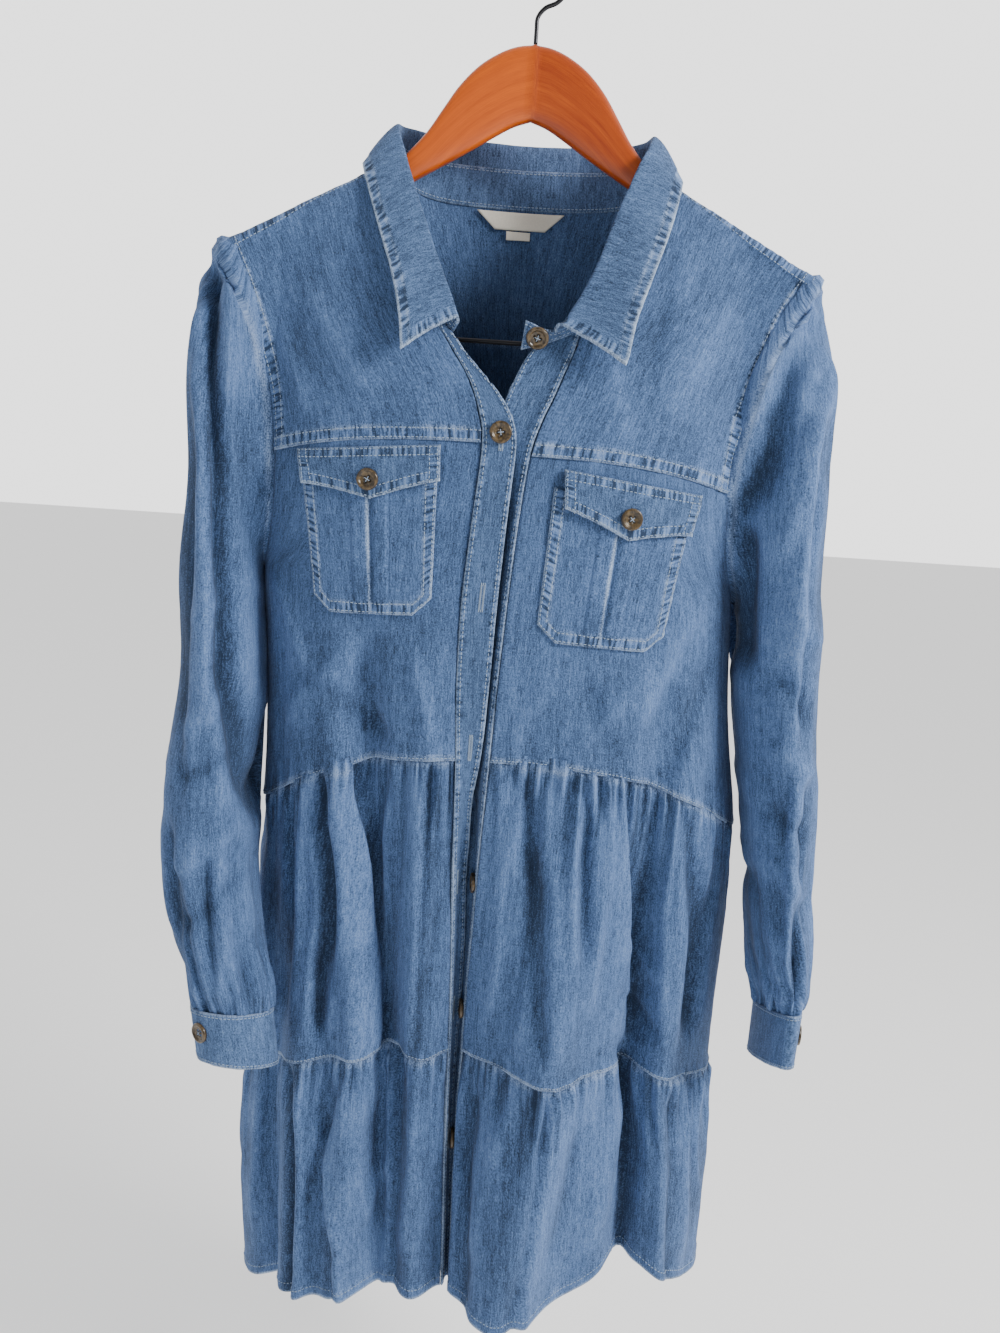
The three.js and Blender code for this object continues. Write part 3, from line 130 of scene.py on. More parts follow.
# The body. Each row is a level named by its height at the centre front: half widths, depths from the middle,
# how much lower the sides are than the centre, and how far round to the side a panel reaches
SECTIONS = Table(
    "level left right middle front back drop_left drop_right reach_left reach_right",
    (-337, 185, 178, -5, 71, 48, 20, 25, 0.897, 0.882),
    (-375, 183, 176, -5, 72, 50, 20, 25, 0.918, 0.92),
    (-400, 181, 174, -5, 72, 52, 21, 25, 0.961, 0.977),
    (UNDERARM, 180, 175, -5, 72, 53, 22, 26, 1, 1),
    (-460, 177, 179, -5, 72, 55, 32, 36, 1, 1),
    (-505, 175, 186, -4, 72, 58, 45, 47, 1, 1),
    (SEAM_WAIST, 176, 198, -3, 70, 60, 58, 58, 1, 1),
    (-640, 179, 201, -2, 69, 66, 57, 52, 1, 1),
    (-740, 184, 202, 0, 68, 74, 52, 40, 1, 1),
    (SEAM_TIER, 190, 203, 2, 72, 80, 47, 30, 1, 1),
    (-900, 194, 211, 3, 80, 88, 48, 24, 1, 1),
    (HEM, 189, 212, 4, 86, 96, 50, 18, 1, 1),
)
FLAT = 3.2
DROOP = 3
# Large folds: face, x and height at the waist seam, at the second seam and at the hem, and half width
FOLDS = (
    (1, -140, 4, -132, 10, -128, 14, 17),
    (1, -112, 7, -86, 12, -95, 15, 14),
    (1, -88, -14, -66, -20, -62, -12, 14),
    (1, -45, 4, -38, 10, -34, 10, 15),
    (1, -8, 0, -12, -12, -10, -12, 16),
    (1, 72, 3, 58, 34, 34, 40, 30),
    (1, 126, -8, 128, -18, 133, -20, 14),
    (1, 150, 5, 152, 10, 165, 12, 16),
    (1, -160, -3, -160, -10, -158, -16, 12),
    (-1, -140, 4, -142, 12, -146, 18, 19),
    (-1, -98, -6, -100, -14, -104, -18, 17),
    (-1, -56, 6, -58, 14, -62, 18, 21),
    (-1, -8, -6, -12, -14, -14, -20, 18),
    (-1, 34, 5, 34, 14, 36, 20, 20),
    (-1, 82, -5, 84, -12, 88, -17, 18),
    (-1, 128, 5, 132, 13, 138, 18, 20),
)
HEM_LIFT = {"x": 140, "rise": 32, "wide": 42}
FOLD_START = 140  # the folds begin this far above the waist seam


def by_side(x, name, at):
    """A column that has a left and a right form, by the sign of x."""
    return np.where(x < 0, SECTIONS(name + "left", at), SECTIONS(name + "right", at))


def fold_height(front, x, level):
    """The sum of the folds, each a bell across x whose middle and height move down its length."""
    upper = level > SEAM_TIER
    t = np.where(upper, (SEAM_WAIST - level) / (SEAM_WAIST - SEAM_TIER), (SEAM_TIER - level) / (SEAM_TIER - HEM))
    start = ease((SEAM_WAIST + FOLD_START - level) / FOLD_START)
    total = 0.0
    for face, at, high, mid, mid_high, low, low_high, wide in FOLDS:
        where = np.where(upper, mix(at, mid, np.maximum(t, -0.3)), mix(mid, low, t))
        size = np.where(upper, mix(high, mid_high, ease(t)), mix(mid_high, low_high, ease(t)))
        total = total + np.where(front == (face > 0), size * bell(x - where, wide), 0)
    return start * total


def body_at(angle, level):
    """A squared oval at each level, angle 0 at the centre front, with the folds along its normal."""
    s, c = np.sin(angle), np.cos(angle)
    front = c >= 0
    width = by_side(s, "", level)
    depth = np.where(front, SECTIONS("front", level), SECTIONS("back", level))
    x = width * s
    y = np.where(front, -1, 1) * depth * np.sqrt(np.maximum(0, 1 - np.abs(s) ** FLAT))
    z = level - by_side(s, "drop_", level) * np.abs(s) ** DROOP
    nx = FLAT * np.abs(s) ** (FLAT - 1) * np.sign(s) / width
    ny = 2 * y / depth ** 2
    length = np.maximum(np.hypot(nx, ny), 1e-9)
    high = fold_height(front, x, level) * np.clip(np.abs(c) * 2.2, 0, 1)
    lift = HEM_LIFT["rise"] * bell(x - HEM_LIFT["x"], HEM_LIFT["wide"])
    lift = np.where(front, lift * ease((SEAM_TIER - level) / (SEAM_TIER - HEM)), 0)
    return vec(x + high * nx / length, SECTIONS("middle", level) + y + high * ny / length, z + lift)


ANGLES = np.linspace(0, np.pi, 721)
GIRTHS = np.concatenate([[0], np.cumsum(np.linalg.norm(np.diff(body_at(ANGLES, UNDERARM), axis=0), axis=1))])
HALF = GIRTHS[-1]
QUARTER = np.interp(np.pi / 2, ANGLES, GIRTHS)


def body_girth(girth, level):
    """The body's surface at a girth from the centre front, which may run past the centre back."""
    girth = np.where(girth > HALF, girth - 2 * HALF, girth)
    return body_at(np.sign(girth) * np.interp(np.abs(girth), GIRTHS, ANGLES), level)


def girth_at(angle):
    return np.sign(angle) * np.interp(np.abs(angle), ANGLES, GIRTHS)


def girth_of_x(x, level):
    return girth_at(np.arcsin(np.clip(x / by_side(x, "", level), -1, 1)))


def reach_girth(side, level):
    return girth_at(np.arcsin(np.clip(SECTIONS("reach_" + side, level), -1, 1)))


def droop(x, level):
    """How much lower than the centre front a level is at x."""
    return by_side(x, "drop_", level) * (np.abs(x) / by_side(x, "", level)) ** DROOP


# The shoulders, over the ridge of the hanger's arms
def arm_y(x):
    return -0.07 * np.abs(x) - 18.6 * (x / 205) ** 2


def ridge_z(x):
    slope = (SHOULDER["tip_z"] - SHOULDER["inner_z"]) / (SHOULDER["tip"] - SHOULDER["inner"])
    return SHOULDER["inner_z"] + slope * np.maximum(0, np.abs(x) - SHOULDER["inner"])


def forward(t):
    return np.sin(np.pi / 2 * np.clip(t, 0, 1)) ** 0.95


def quarter_round(d):
    return np.sqrt(np.maximum(0, 1 - (1 - np.clip(d / RIDGE_RISE, 0, 1)) ** 2))


def yoke_level(x):
    return np.where(x < 0, SEAM_YOKE["left"], SEAM_YOKE["right"])


def chest_at(x, z):
    """The front above the yoke seam: a quarter round off the ridge, then a sine curve out to the chest."""
    level = yoke_level(x)
    width = by_side(x, "", level)
    s = np.minimum(np.abs(x) / width, by_side(x, "reach_", level))
    chest = SECTIONS("middle", level) - SECTIONS("front", level) * np.sqrt(1 - s ** FLAT)
    low = level - by_side(x, "drop_", level) * s ** DROOP
    down = np.maximum(0, ridge_z(x) - z)
    start = arm_y(x) - RIDGE_RISE
    out = (chest - start) * forward(down / (ridge_z(x) - low))
    return vec(x, arm_y(x) - RIDGE_RISE * quarter_round(down) + out, z)


ARMHOLE = Table(
    "z left right",
    (-211, 206, 205), (-235, 195, 190), (-260, 185, 180), (-285, 177, 172), (-310, 170, 166), (-336, 167, 160),
    (-357, 166, 157),
)

# The collar: neck seam, roll line and outer edge at stations from the left front end to the right one
COLLAR = Table(
    "at nx ny nz rx ry rz ex ey ez",
    (0, -42, -61, -264, -38, -70, -257, -75, -86, -280),
    (1, -58, -57, -248, -47, -62, -238, -79, -77, -254),
    (2, -72, -50, -226, -58, -51, -212, -87, -64, -226),
    (3, -87, -38, -193, -74, -34, -173, -101, -45, -190),
    (4, -96, -22, -159, -84, -21, -146, -112, -26, -160),
    (5, -99, -9, -149, -91, -4, -124, -115, -6, -150),
    (6, -90, 14, -154, -86, 18, -119, -106, 28, -156),
    (7, -62, 32, -160, -58, 37, -118, -66, 52, -165),
    (8, 0, 39, -161, 0, 45, -118, 0, 60, -168),
    (9, 60, 32, -160, 55, 37, -118, 62, 52, -165),
    (10, 89, 14, -154, 80, 18, -119, 98, 28, -156),
    (11, 99, -9, -149, 86, -4, -121, 107, -6, -147),
    (12, 94, -22, -160, 76, -26, -145, 107, -28, -158),
    (13, 84, -38, -193, 64, -38, -176, 100, -46, -188),
    (14, 70, -50, -226, 51, -56, -216, 88, -66, -224),
    (15, 50, -58, -252, 38, -66, -243, 79, -79, -252),
    (16, 24, -62, -266, 26, -73, -257, 73, -89, -281),
    (17, 4, -64, -272, 7, -70, -244, 60, -92, -290),
)
STATIONS = 16
STAND_SHARE = 0.6


def collar_point(curve, at):
    return vec(COLLAR(curve + "x", at), COLLAR(curve + "y", at), COLLAR(curve + "z", at))


# The front bands: the seam joins the panel and the edge is free; behind is how far the band steps back from the
# front, and turn how soon after its seam
OVER = Table(
    "row seam_x seam_z edge_x edge_z behind turn",
    (0, -64, -243, -42, -267, 0, 2.5), (1, -54, -258, -32, -280, 0, 2.5), (2, -42, -276, -20, -292, 0, 2.5),
    (3, -30, -294, -7, -306, 0, 2.5), (4, -22, -314, 2, -321, 0, 2.5), (5, -18, -338, 5, -340, 0, 2.5),
    (6, -22, -390, 2, -390, 0, 2.5), (7, -26, -450, -1, -450, 0, 2.5), (8, -26, -510, -3, -510, 0, 2),
    (9, -24, SEAM_WAIST, -6, SEAM_WAIST, 3, 1.4), (10, -22, -640, -16, -640, 12, 1), (11, -20, -710, -15, -710, 13, 1),
    (12, -18.5, -760, -14, -760, 13, 1), (13, -17.5, SEAM_TIER, -13.5, SEAM_TIER, 13, 1),
    (14, -16, -870, -12.5, -870, 13, 1), (15, -11, HEM, -8, HEM, 13, 1),
)
UNDER = Table(
    "row seam_x seam_z edge_x edge_z behind turn",
    (0, 44, -256.6, 14, -270, 1, 2.5), (1, 40, -272, 7, -280, 2, 2.5), (2, 34, -288, 2, -291, 2.6, 2.5),
    (3, 28, -304, -4, -306, 3, 2.5), (4, 21, -321, -9, -321, 3, 2.5), (5, 15, -343, -13, -343, 3.4, 2.5),
    (6, 10, -390, -17, -390, 10, 2.5), (7, 6, -450, -19, -450, 13, 2.2), (8, 3, -510, -19, -510, 15, 1.8),
    (9, 1, SEAM_WAIST, -16, SEAM_WAIST, 17, 1.4), (10, -2, -640, -6, -640, 19, 1), (11, -4, -710, -7, -710, 19, 1),
    (12, -5.5, -760, -8, -760, 19, 1), (13, -6, SEAM_TIER, -8.5, SEAM_TIER, 19, 1),
    (14, -6.5, -870, -8.5, -870, 19, 1), (15, -4.5, HEM, -6.5, HEM, 19, 1),
)
BAND = {"left": OVER, "right": UNDER}
BAND_ROWS = 15


def front_at(x, z):
    """The front's surface at x and z: the chest above the yoke seam, and the body's oval below it."""
    x, z = np.broadcast_arrays(np.asarray(x, float), np.asarray(z, float))
    seam = yoke_level(x)
    level = z + droop(x, z)
    return np.where((z > seam - droop(x, seam))[..., None], chest_at(x, z), body_girth(girth_of_x(x, level), level))


def row_at(band, z):
    """The row of a band at which its seam is at height z."""
    rows = np.linspace(0, BAND_ROWS, 1501)
    return np.interp(-np.asarray(z, float), -band("seam_z", rows), rows)


def seam_x(band, z):
    return band("seam_x", row_at(band, z))


def band_surface(band):
    """The front's surface between the band's seam (u = 0) and its free edge, stepped back where it lies under."""
    def surface(u, v):
        row = v * BAND_ROWS
        start = band("seam_x", row)
        x = mix(start, band("edge_x", row), u)
        p = front_at(x, mix(band("seam_z", row), band("edge_z", row), u))
        p[..., 1] += band("behind", row) * ease(u * band("turn", row))
        turned = ease((row - 9.3) / 0.7)
        near = turned * ease((u - 0.55) / 0.45)
        p[..., 0] += near * (mix(5.0, 2.0, ease((row - 11) / 3)) if band is OVER else -9.0)
        return p
    return surface


# Cloth as grids

def cells(g):
    """The four corners of each cell of a grid: top left, low left, low right and top right."""
    return np.stack([g[:-1, :-1], g[1:, :-1], g[1:, 1:], g[:-1, 1:]], 2).reshape(-1, 4, *g.shape[2:])


def lengths(points, axis):
    """Length along the grid lines of an axis from their start."""
    steps = np.linalg.norm(np.diff(points, axis=axis), axis=-1)
    start = np.zeros_like(np.take(steps, [0], axis))
    return np.concatenate([start, np.cumsum(steps, axis)], axis)


def build(name, points, faces, material, uv=None, marks=(), flat_faces=0, nodes=()):
    """A mesh in metres at the origin, from points in mm and lists of faces with the same corner count."""
    me = bpy.data.meshes.new(name)
    sizes = np.concatenate([np.full(len(f), f.shape[1]) for f in faces])
    corners = np.concatenate([f.ravel() for f in faces])
    me.vertices.add(len(points))
    me.vertices.foreach_set("co", (np.asarray(points) * MM).ravel())
    me.loops.add(len(corners))
    me.loops.foreach_set("vertex_index", corners.astype(np.int32))
    me.polygons.add(len(sizes))
    me.polygons.foreach_set("loop_start", np.concatenate([[0], np.cumsum(sizes)[:-1]]).astype(np.int32))
    smooth = np.ones(len(sizes), bool)
    if flat_faces:
        smooth[-flat_faces:] = False
    me.polygons.foreach_set("use_smooth", smooth)
    if uv is not None:
        layer = me.uv_layers.new(name="cloth")
        layer.uv.foreach_set("vector", (uv * MM).astype(np.float32).ravel())
    for mark, values in dict(marks).items():
        me.attributes.new(mark, "FLOAT", "POINT").data.foreach_set("value", values.astype(np.float32).ravel())
    me.materials.append(material)
    me.update(calc_edges=True)
    obj = bpy.data.objects.new(name, me)
    bpy.context.scene.collection.objects.link(obj)
    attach(obj, "root")
    if nodes:
        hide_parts(*nodes)
    return obj


class Cloth:
    """A piece of cloth on a grid, u across and v down as seen from outside, with all of its wrinkles."""

    def __init__(self, surface, us, vs, relief=None, wear_and_painted_shade=None, closed=False, fell=None, chart=None, drawn=None):
        self.us, self.vs, self.closed = us, vs, closed
        self.u, self.v = np.meshgrid(us, vs)
        self.points = surface(self.u, self.v)
        self.normals = self._normals()
        across, down = lengths(self.points, 1), lengths(self.points, 0)
        self.left, self.right = across, across[:, -1:] - across
        self.top, self.low = down, down[-1:] - down
        self.s = np.broadcast_to(across[np.argmax(across[:, -1])], self.u.shape)
        self.t = np.broadcast_to(down[:, len(us) // 2][:, None], self.u.shape)
        self.drawn = (drawn(self) if drawn else 0) + np.zeros_like(self.u)
        self.chart = chart(self) if chart else (self.s, self.t)
        height = relief(self) if relief else np.zeros_like(self.u)
        self.points = self.points + self.normals * height[..., None]
        self.normals = self._normals()
        self.wear_and_painted_shade = (wear_and_painted_shade(self) if wear_and_painted_shade else 0) + np.zeros_like(self.u)
        self.height = height
        self.fell = (fell(self) if fell else 0) + np.zeros_like(self.u)

    def _normals(self):
        """Down times across at each point, from the points on each side."""
        p = self.points
        if self.closed:
            p = np.concatenate([p[:, -2:-1], p, p[:, 1:2]], 1)
        across = np.gradient(p, axis=1)
        if self.closed:
            across = across[:, 1:-1]
        return unit(np.cross(np.gradient(self.points, axis=0), across))

    def at(self, u, v, lift=0.0):
        """Points lifted off the face, and its normals, at arrays of u and v, read between the grid's points."""
        u, v = np.broadcast_arrays(np.asarray(u, float), np.asarray(v, float))
        if self.closed:
            u = u % 1
        i = np.interp(u, self.us, np.arange(len(self.us)))
        j = np.interp(v, self.vs, np.arange(len(self.vs)))
        i0 = np.minimum(i.astype(int), len(self.us) - 2)
        j0 = np.minimum(j.astype(int), len(self.vs) - 2)
        a, b = (i - i0)[..., None], (j - j0)[..., None]

        def between(g):
            return mix(mix(g[j0, i0], g[j0, i0 + 1], a), mix(g[j0 + 1, i0], g[j0 + 1, i0 + 1], a), b)

        normals = unit(between(self.normals))
        return between(self.points) + normals * lift, normals

    def shell(self, name, material, nodes, thick=1.1, out=0.0, flat=None, held="hung", area=None):
        """A closed shell: the outer face, the inner one behind it, and the rim that joins them."""
        outer = self.points + self.normals * out
        inner = outer - self.normals * thick
        rows, count = self.u.shape
        kept = count - 1 if self.closed else count
        ids = np.arange(rows * kept).reshape(rows, kept)
        if self.closed:
            ids = np.concatenate([ids, ids[:, :1]], 1)
        behind = ids + rows * kept
        cloth = np.stack(self.chart, -1)

        def rims(a, b):
            strips = [(b[0], a[0]), (a[-1], b[-1])]
            if not self.closed:
                strips += [(a[:, 0], b[:, 0]), (b[:, -1], a[:, -1])]
            return [cells(np.stack(strip)) for strip in strips]

        face_sets = [cells(ids), cells(behind)[:, ::-1], *rims(ids, behind)]
        uv_sets = [cells(cloth), cells(cloth)[:, ::-1], *rims(cloth, cloth)]
        points = np.concatenate([outer[:, :kept].reshape(-1, 3), inner[:, :kept].reshape(-1, 3)])
        # rise is the relief's height, which the denim paints as shade in the hollows and light on the ridges; drawn is
        # where the cloth is gathered, whose creases it paints in shade.
        marks = {key: np.tile(value[:, :kept].ravel(), 2) for key, value in
                 (("wear_and_painted_shade", self.wear_and_painted_shade), ("rise", np.clip(self.height, -6, 4)), ("fell", self.fell),
                  ("drawn", self.drawn))}
        rim_count = sum(len(f) for f in face_sets[2:])
        obj = build(name, points, [np.concatenate(face_sets)], material, np.concatenate(uv_sets), marks,
                    rim_count, nodes)
        if flat:
            self.sheets.append((obj, flat, held, area))
        return obj

    sheets = []


def steps(count, start=0.0, end=1.0):
    return np.linspace(start, end, count + 1)


# Wrinkles

def crumple(c, seed, size=1.0, drawn=2.2):
    """Washed cloth's creases: noise in three sizes drawn out downwards, half of it ridged."""
    total = 0.0
    for scale, high in ((52, 1.1), (24, 0.6), (10.5, 0.26)):
        lean = 0.5 * noise(c.t / scale / 1.5, c.s / scale / 3, seed + 5)
        n = noise(c.s / scale + lean, c.t / (scale * drawn), seed)
        sharp = 0.45 - np.abs(noise(c.s / scale - lean, c.t / scale / 1.4, seed + 2))
        total = total + high * (0.55 * n + 0.45 * sharp)
        seed += 1
    return 1.5 * size * total


def pucker(distance, along, seed, size=0.45, reach=6.5, pitch=4.2):
    """Small waves square to a stitched seam: noise along it that fades away from it."""
    return size * noise(along / pitch, distance / 16, seed) * bell(distance, reach)


def felled(distance, wide=8.0, high=0.55):
    """The step of folded layers beside a seam: raised out to the last row of stitches."""
    return high * (1 - ease((distance - wide) / 1.6))


def gathers(across, below, seed, pitch=6.4, size=1.0):
    """Waves under a gathered seam in three sizes, each with its own height and length along the seam."""
    total = 0.0
    for high, wave, reach in ((1.2, pitch, 18), (2.1, 2.3 * pitch, 52), (2.2, 4.6 * pitch, 130)):
        phase = across / wave + 0.45 * noise(across / (2.6 * wave), below / 70, seed)
        own = 0.6 + 0.5 * noise(across / (1.6 * wave), 0.0, seed + 3)
        length = reach * (1 + 0.55 * noise(across / (1.2 * wave), 0.0, seed + 7))
        wavy = np.cos(2 * np.pi * phase) + 0.22 * np.cos(4 * np.pi * phase)
        total = total + high * own * wavy * bell(below, length) * mix(0.35, 1, ease(below / 6))
        seed += 11
    return size * total


def creases(c, table, front=True):
    """Soft ridges and troughs along listed lines: a bell across each line, fading out at its ends.

    A row has x and z at both ends, half width, height, and lean, which is how much sharper one side is.
    """
    x, z = c.points[..., 0], c.points[..., 2]
    total = np.zeros_like(x)
    for x0, z0, x1, z1, wide, high, lean in table:
        length = math.hypot(x1 - x0, z1 - z0)
        ax, az = (x1 - x0) / length, (z1 - z0) / length
        along = ((x - x0) * ax + (z - z0) * az) / length
        off = (x - x0) * az - (z - z0) * ax
        off = off + 0.35 * wide * noise(along * 3, 0.0, int(abs(x0 + z0)))
        width = wide * np.where(off > 0, 1 + lean, 1 - lean)
        total += 1.7 * high * np.exp(-np.abs(off / width) ** 1.7) * ease(along * 4) * ease((1 - along) * 4)
    facing = c.normals[..., 1] < 0.25 if front else c.normals[..., 1] > -0.25
    return total * facing


def barred(distance, wide):
    """1 where folded layers lie between two rows of stitches, out to this far from an edge."""
    return ease(distance / 1.5) * (1 - ease((distance - wide) / 2.0))


def fold_lines(c, table, front=True):
    """Long folds along lines of x and z. A row has its dark side, height, depth, width and then the line's places.

    Where the dark side is 1 or -1 the cloth rises to the line and drops sharply past it, to the right or left, and
    where it is 0 the line is a trough.
    """
    x, z = c.points[..., 0], c.points[..., 2]
    total = np.zeros_like(x)
    for dark, high, deep, wide, *places in table:
        line = np.array(places, float).reshape(-1, 2)
        middle = np.interp(-z, -line[:, 1], line[:, 0]) + 1.5 * noise(z / 37, 0.0, abs(places[0]))
        d = x - middle
        if dark:
            d = d * dark
            rise, drop = high * np.exp(np.minimum(d, 0) / (2.2 * wide)), -deep * np.exp(-np.maximum(d, 0) / wide)
            shape = mix(rise, drop, (1 + np.tanh(d / 2.0)) / 2)
        else:
            shape = high * bell(np.abs(d) - 1.6 * wide, wide) - deep * np.exp(-np.abs(d / wide) ** 1.7)
        fade = ease((line[0, 1] + 8 - z) / 26) * ease((z - line[-1, 1] + 8) / 30)
        total += 1.35 * shape * fade
    facing = c.normals[..., 1] < 0.3 if front else c.normals[..., 1] > -0.3
    return total * facing


def edge_wear(distance, wide=1.6):
    """Paler cloth at a worn edge."""
    return bell(distance, wide)


# Creases on the front of the body and skirt, in x and z
FRONT_CREASES = (
    (-160, -560, -100, -470, 9, 1.8, 0.3), (-150, -500, -60, -560, 8, -1.6, 0.2), (-170, -430, -130, -520, 8, 2.0, 0.3),
    (-60, -475, -40, -560, 6, 1.5, 0.2), (-100, -480, -82, -560, 7, -1.4, 0.2),
    (40, -480, 20, -560, 7, 1.6, 0.2), (150, -430, 100, -540, 8, 2.2, 0.3), (165, -470, 130, -575, 7, -2.0, 0.3),
    (60, -490, 95, -560, 8, -1.5, 0.2), (120, -480, 60, -555, 7, 1.4, 0.2),
    (-180, -640, -165, -790, 7, 2.2, 0.2), (-120, -600, -104, -770, 6, -2.0, 0.3), (-75, -590, -70, -790, 5, 1.8, -0.3),
    (-30, -590, -34, -780, 5, -1.5, 0.2), (20, -590, 14, -790, 6, 2.0, 0.3), (40, -600, 34, -780, 6, -2.2, 0.2),
    (95, -600, 84, -770, 7, 1.8, 0.3), (140, -620, 150, -800, 6, 2.2, 0.2), (178, -640, 172, -800, 6, -2.2, 0.2),
    (110, -700, 150, -740, 5, 1.3, 0.2), (105, -740, 150, -790, 5, -1.4, 0.2), (100, -780, 140, -720, 5, 1.0, 0.2),
    (-170, -850, -176, -1010, 6, 2.0, 0.2), (-120, -860, -90, -980, 6, 2.0, 0.3), (-100, -850, -130, -960, 5, -1.6, 0.2),
    (-70, -840, -60, -990, 6, -2.2, 0.2), (-55, -900, -80, -960, 5, 1.6, 0.2), (-40, -840, -44, -990, 5, 1.6, 0.2),
    (30, -830, 4, -990, 7, 2.2, 0.3), (90, -840, 70, -980, 7, -2.0, 0.2), (120, -830, 110, -960, 6, 2.0, 0.2),
    (175, -840, 190, -1000, 6, 2.2, 0.2), (60, -850, 50, -980, 5, 1.2, 0.2),
)
FRONT_FOLDS = (
    (1, 4, 6, 9, -102, -560, -95, -599, -84, -656, -76, -726, -69, -815),
    (0, 2.5, 6, 6, -122, -580, -114, -679, -119, -800),
    (0, 1.5, 4, 5, -150, -590, -147, -680, -150, -800),
    (1, 2, 4, 8, -46, -566, -44, -660, -46, -810),
    (1, 4, 6, 10, 102, -566, 110, -620, 118, -700, 125, -800),
    (0, 2, 4, 8, 28, -570, 42, -666, 53, -790),
    (0, 2, 4.5, 7, 150, -590, 168, -680, 176, -790),
    (0, 1.5, 3.5, 5, 72, -575, 78, -650, 84, -720),
    (-1, 5, 3, 14, 64, -806, 58, -900, 50, -1030),
    (1, 3, 7, 8, 119, -800, 125, -875, 134, -1000),
    (1, 3, 5, 7, -59, -806, -56, -893, -52, -1030),
    (0, 2, 8, 5, -144, -830, -139, -917, -136, -1040),
    (-1, 3, 4, 8, -100, -830, -108, -900, -92, -1040),
    (0, 1.5, 4, 6, 160, -830, 172, -900, 178, -1010),
    (0, 1.5, 4, 6, 6, -830, 4, -900, 8, -1020),
)
BACK_FOLDS = (
    (1, 4, 5, 9, -110, -570, -100, -680, -96, -810), (-1, 4, 5, 9, 60, -570, 52, -680, 50, -810),
    (0, 2, 5, 7, -30, -570, -36, -800), (0, 2, 5, 7, 120, -580, 132, -800), (1, 3, 5, 8, -60, -815, -64, -1030),
    (-1, 3, 5, 8, 90, -815, 96, -1030), (0, 2, 5, 6, 20, -815, 16, -1030), (0, 2, 5, 6, -130, -815, -136, -1030),
)
SLEEVE_FOLDS = {
    "left": (
        (0, 2.5, 9, 6.5, -213, -225, -209, -281, -204, -353, -195, -458, -195, -510, -184, -570, -168, -640),
        (0, 2, 4, 5, -230, -620, -223, -708, -204, -770), (-1, 2, 4, 7, -196, -640, -192, -700, -178, -760),
    ),
    "right": (
        (0, 2.5, 4.5, 9, 192, -262, 182, -322, 166, -385), (0, 2, 8, 7, 174, -380, 180, -435, 186, -490),
        (1, 3, 4, 8, 214, -300, 214, -420, 224, -540), (0, 2, 4, 6, 236, -560, 240, -660, 236, -750),
        (-1, 2.5, 4, 6, 222, -560, 226, -650, 232, -745),
    ),
}
YOKE_CREASES = (
    (-150, -230, -90, -320, 9, 1.4, 0.2), (-120, -200, -100, -300, 7, -1.0, 0.2), (-170, -250, -140, -330, 7, 1.2, 0.2),
    (150, -230, 100, -320, 9, 1.5, 0.2), (110, -190, 90, -300, 7, -1.0, 0.2), (60, -270, 80, -335, 6, 1.0, 0.2),
    (180, -240, 150, -330, 6, -1.4, 0.2),
)
BACK_CREASES = (
    (-150, -250, -90, -420, 10, 2.0, 0.2), (150, -250, 80, -430, 10, 2.0, 0.2), (-60, -300, -70, -540, 9, -1.8, 0.2),
    (40, -280, 50, -540, 9, 1.8, 0.2), (0, -350, -10, -560, 8, 1.6, 0.2), (110, -420, 130, -560, 8, -1.8, 0.2),
    (-120, -430, -130, -560, 8, 1.8, 0.2), (-30, -600, -30, -790, 7, 2.0, 0.2), (70, -600, 74, -780, 7, -2.0, 0.2),
    (140, -600, 150, -790, 7, 2.0, 0.2), (-150, -610, -155, -790, 7, -2.0, 0.2), (-90, -600, -84, -780, 6, 1.6, 0.2),
    (0, -840, -6, -1000, 7, 2.2, 0.2), (60, -850, 66, -1000, 7, -2.0, 0.2), (-80, -850, -90, -1000, 7, 2.0, 0.2),
    (120, -840, 128, -1000, 6, 1.8, 0.2), (-140, -850, -150, -1000, 6, -1.8, 0.2),
)


# Shaders

class Value:
    """A socket of a material's tree, on which Python's operators add Math nodes."""

    def __init__(self, paint, socket):
        self.paint, self.socket = paint, socket

    def _math(self, operation, a, b):
        return self.paint.node("ShaderNodeMath", {"operation": operation}, {0: a, 1: b})

    def __add__(self, other): return self._math("ADD", self, other)
    def __radd__(self, other): return self._math("ADD", other, self)
    def __sub__(self, other): return self._math("SUBTRACT", self, other)
    def __rsub__(self, other): return self._math("SUBTRACT", other, self)
    def __mul__(self, other): return self._math("MULTIPLY", self, other)
    def __rmul__(self, other): return self._math("MULTIPLY", other, self)
    def __pow__(self, other): return self._math("POWER", self, other)
    def sine(self): return self._math("SINE", self, 0.0)
    def clamped(self): return self.paint.node("ShaderNodeClamp", {}, {0: self})


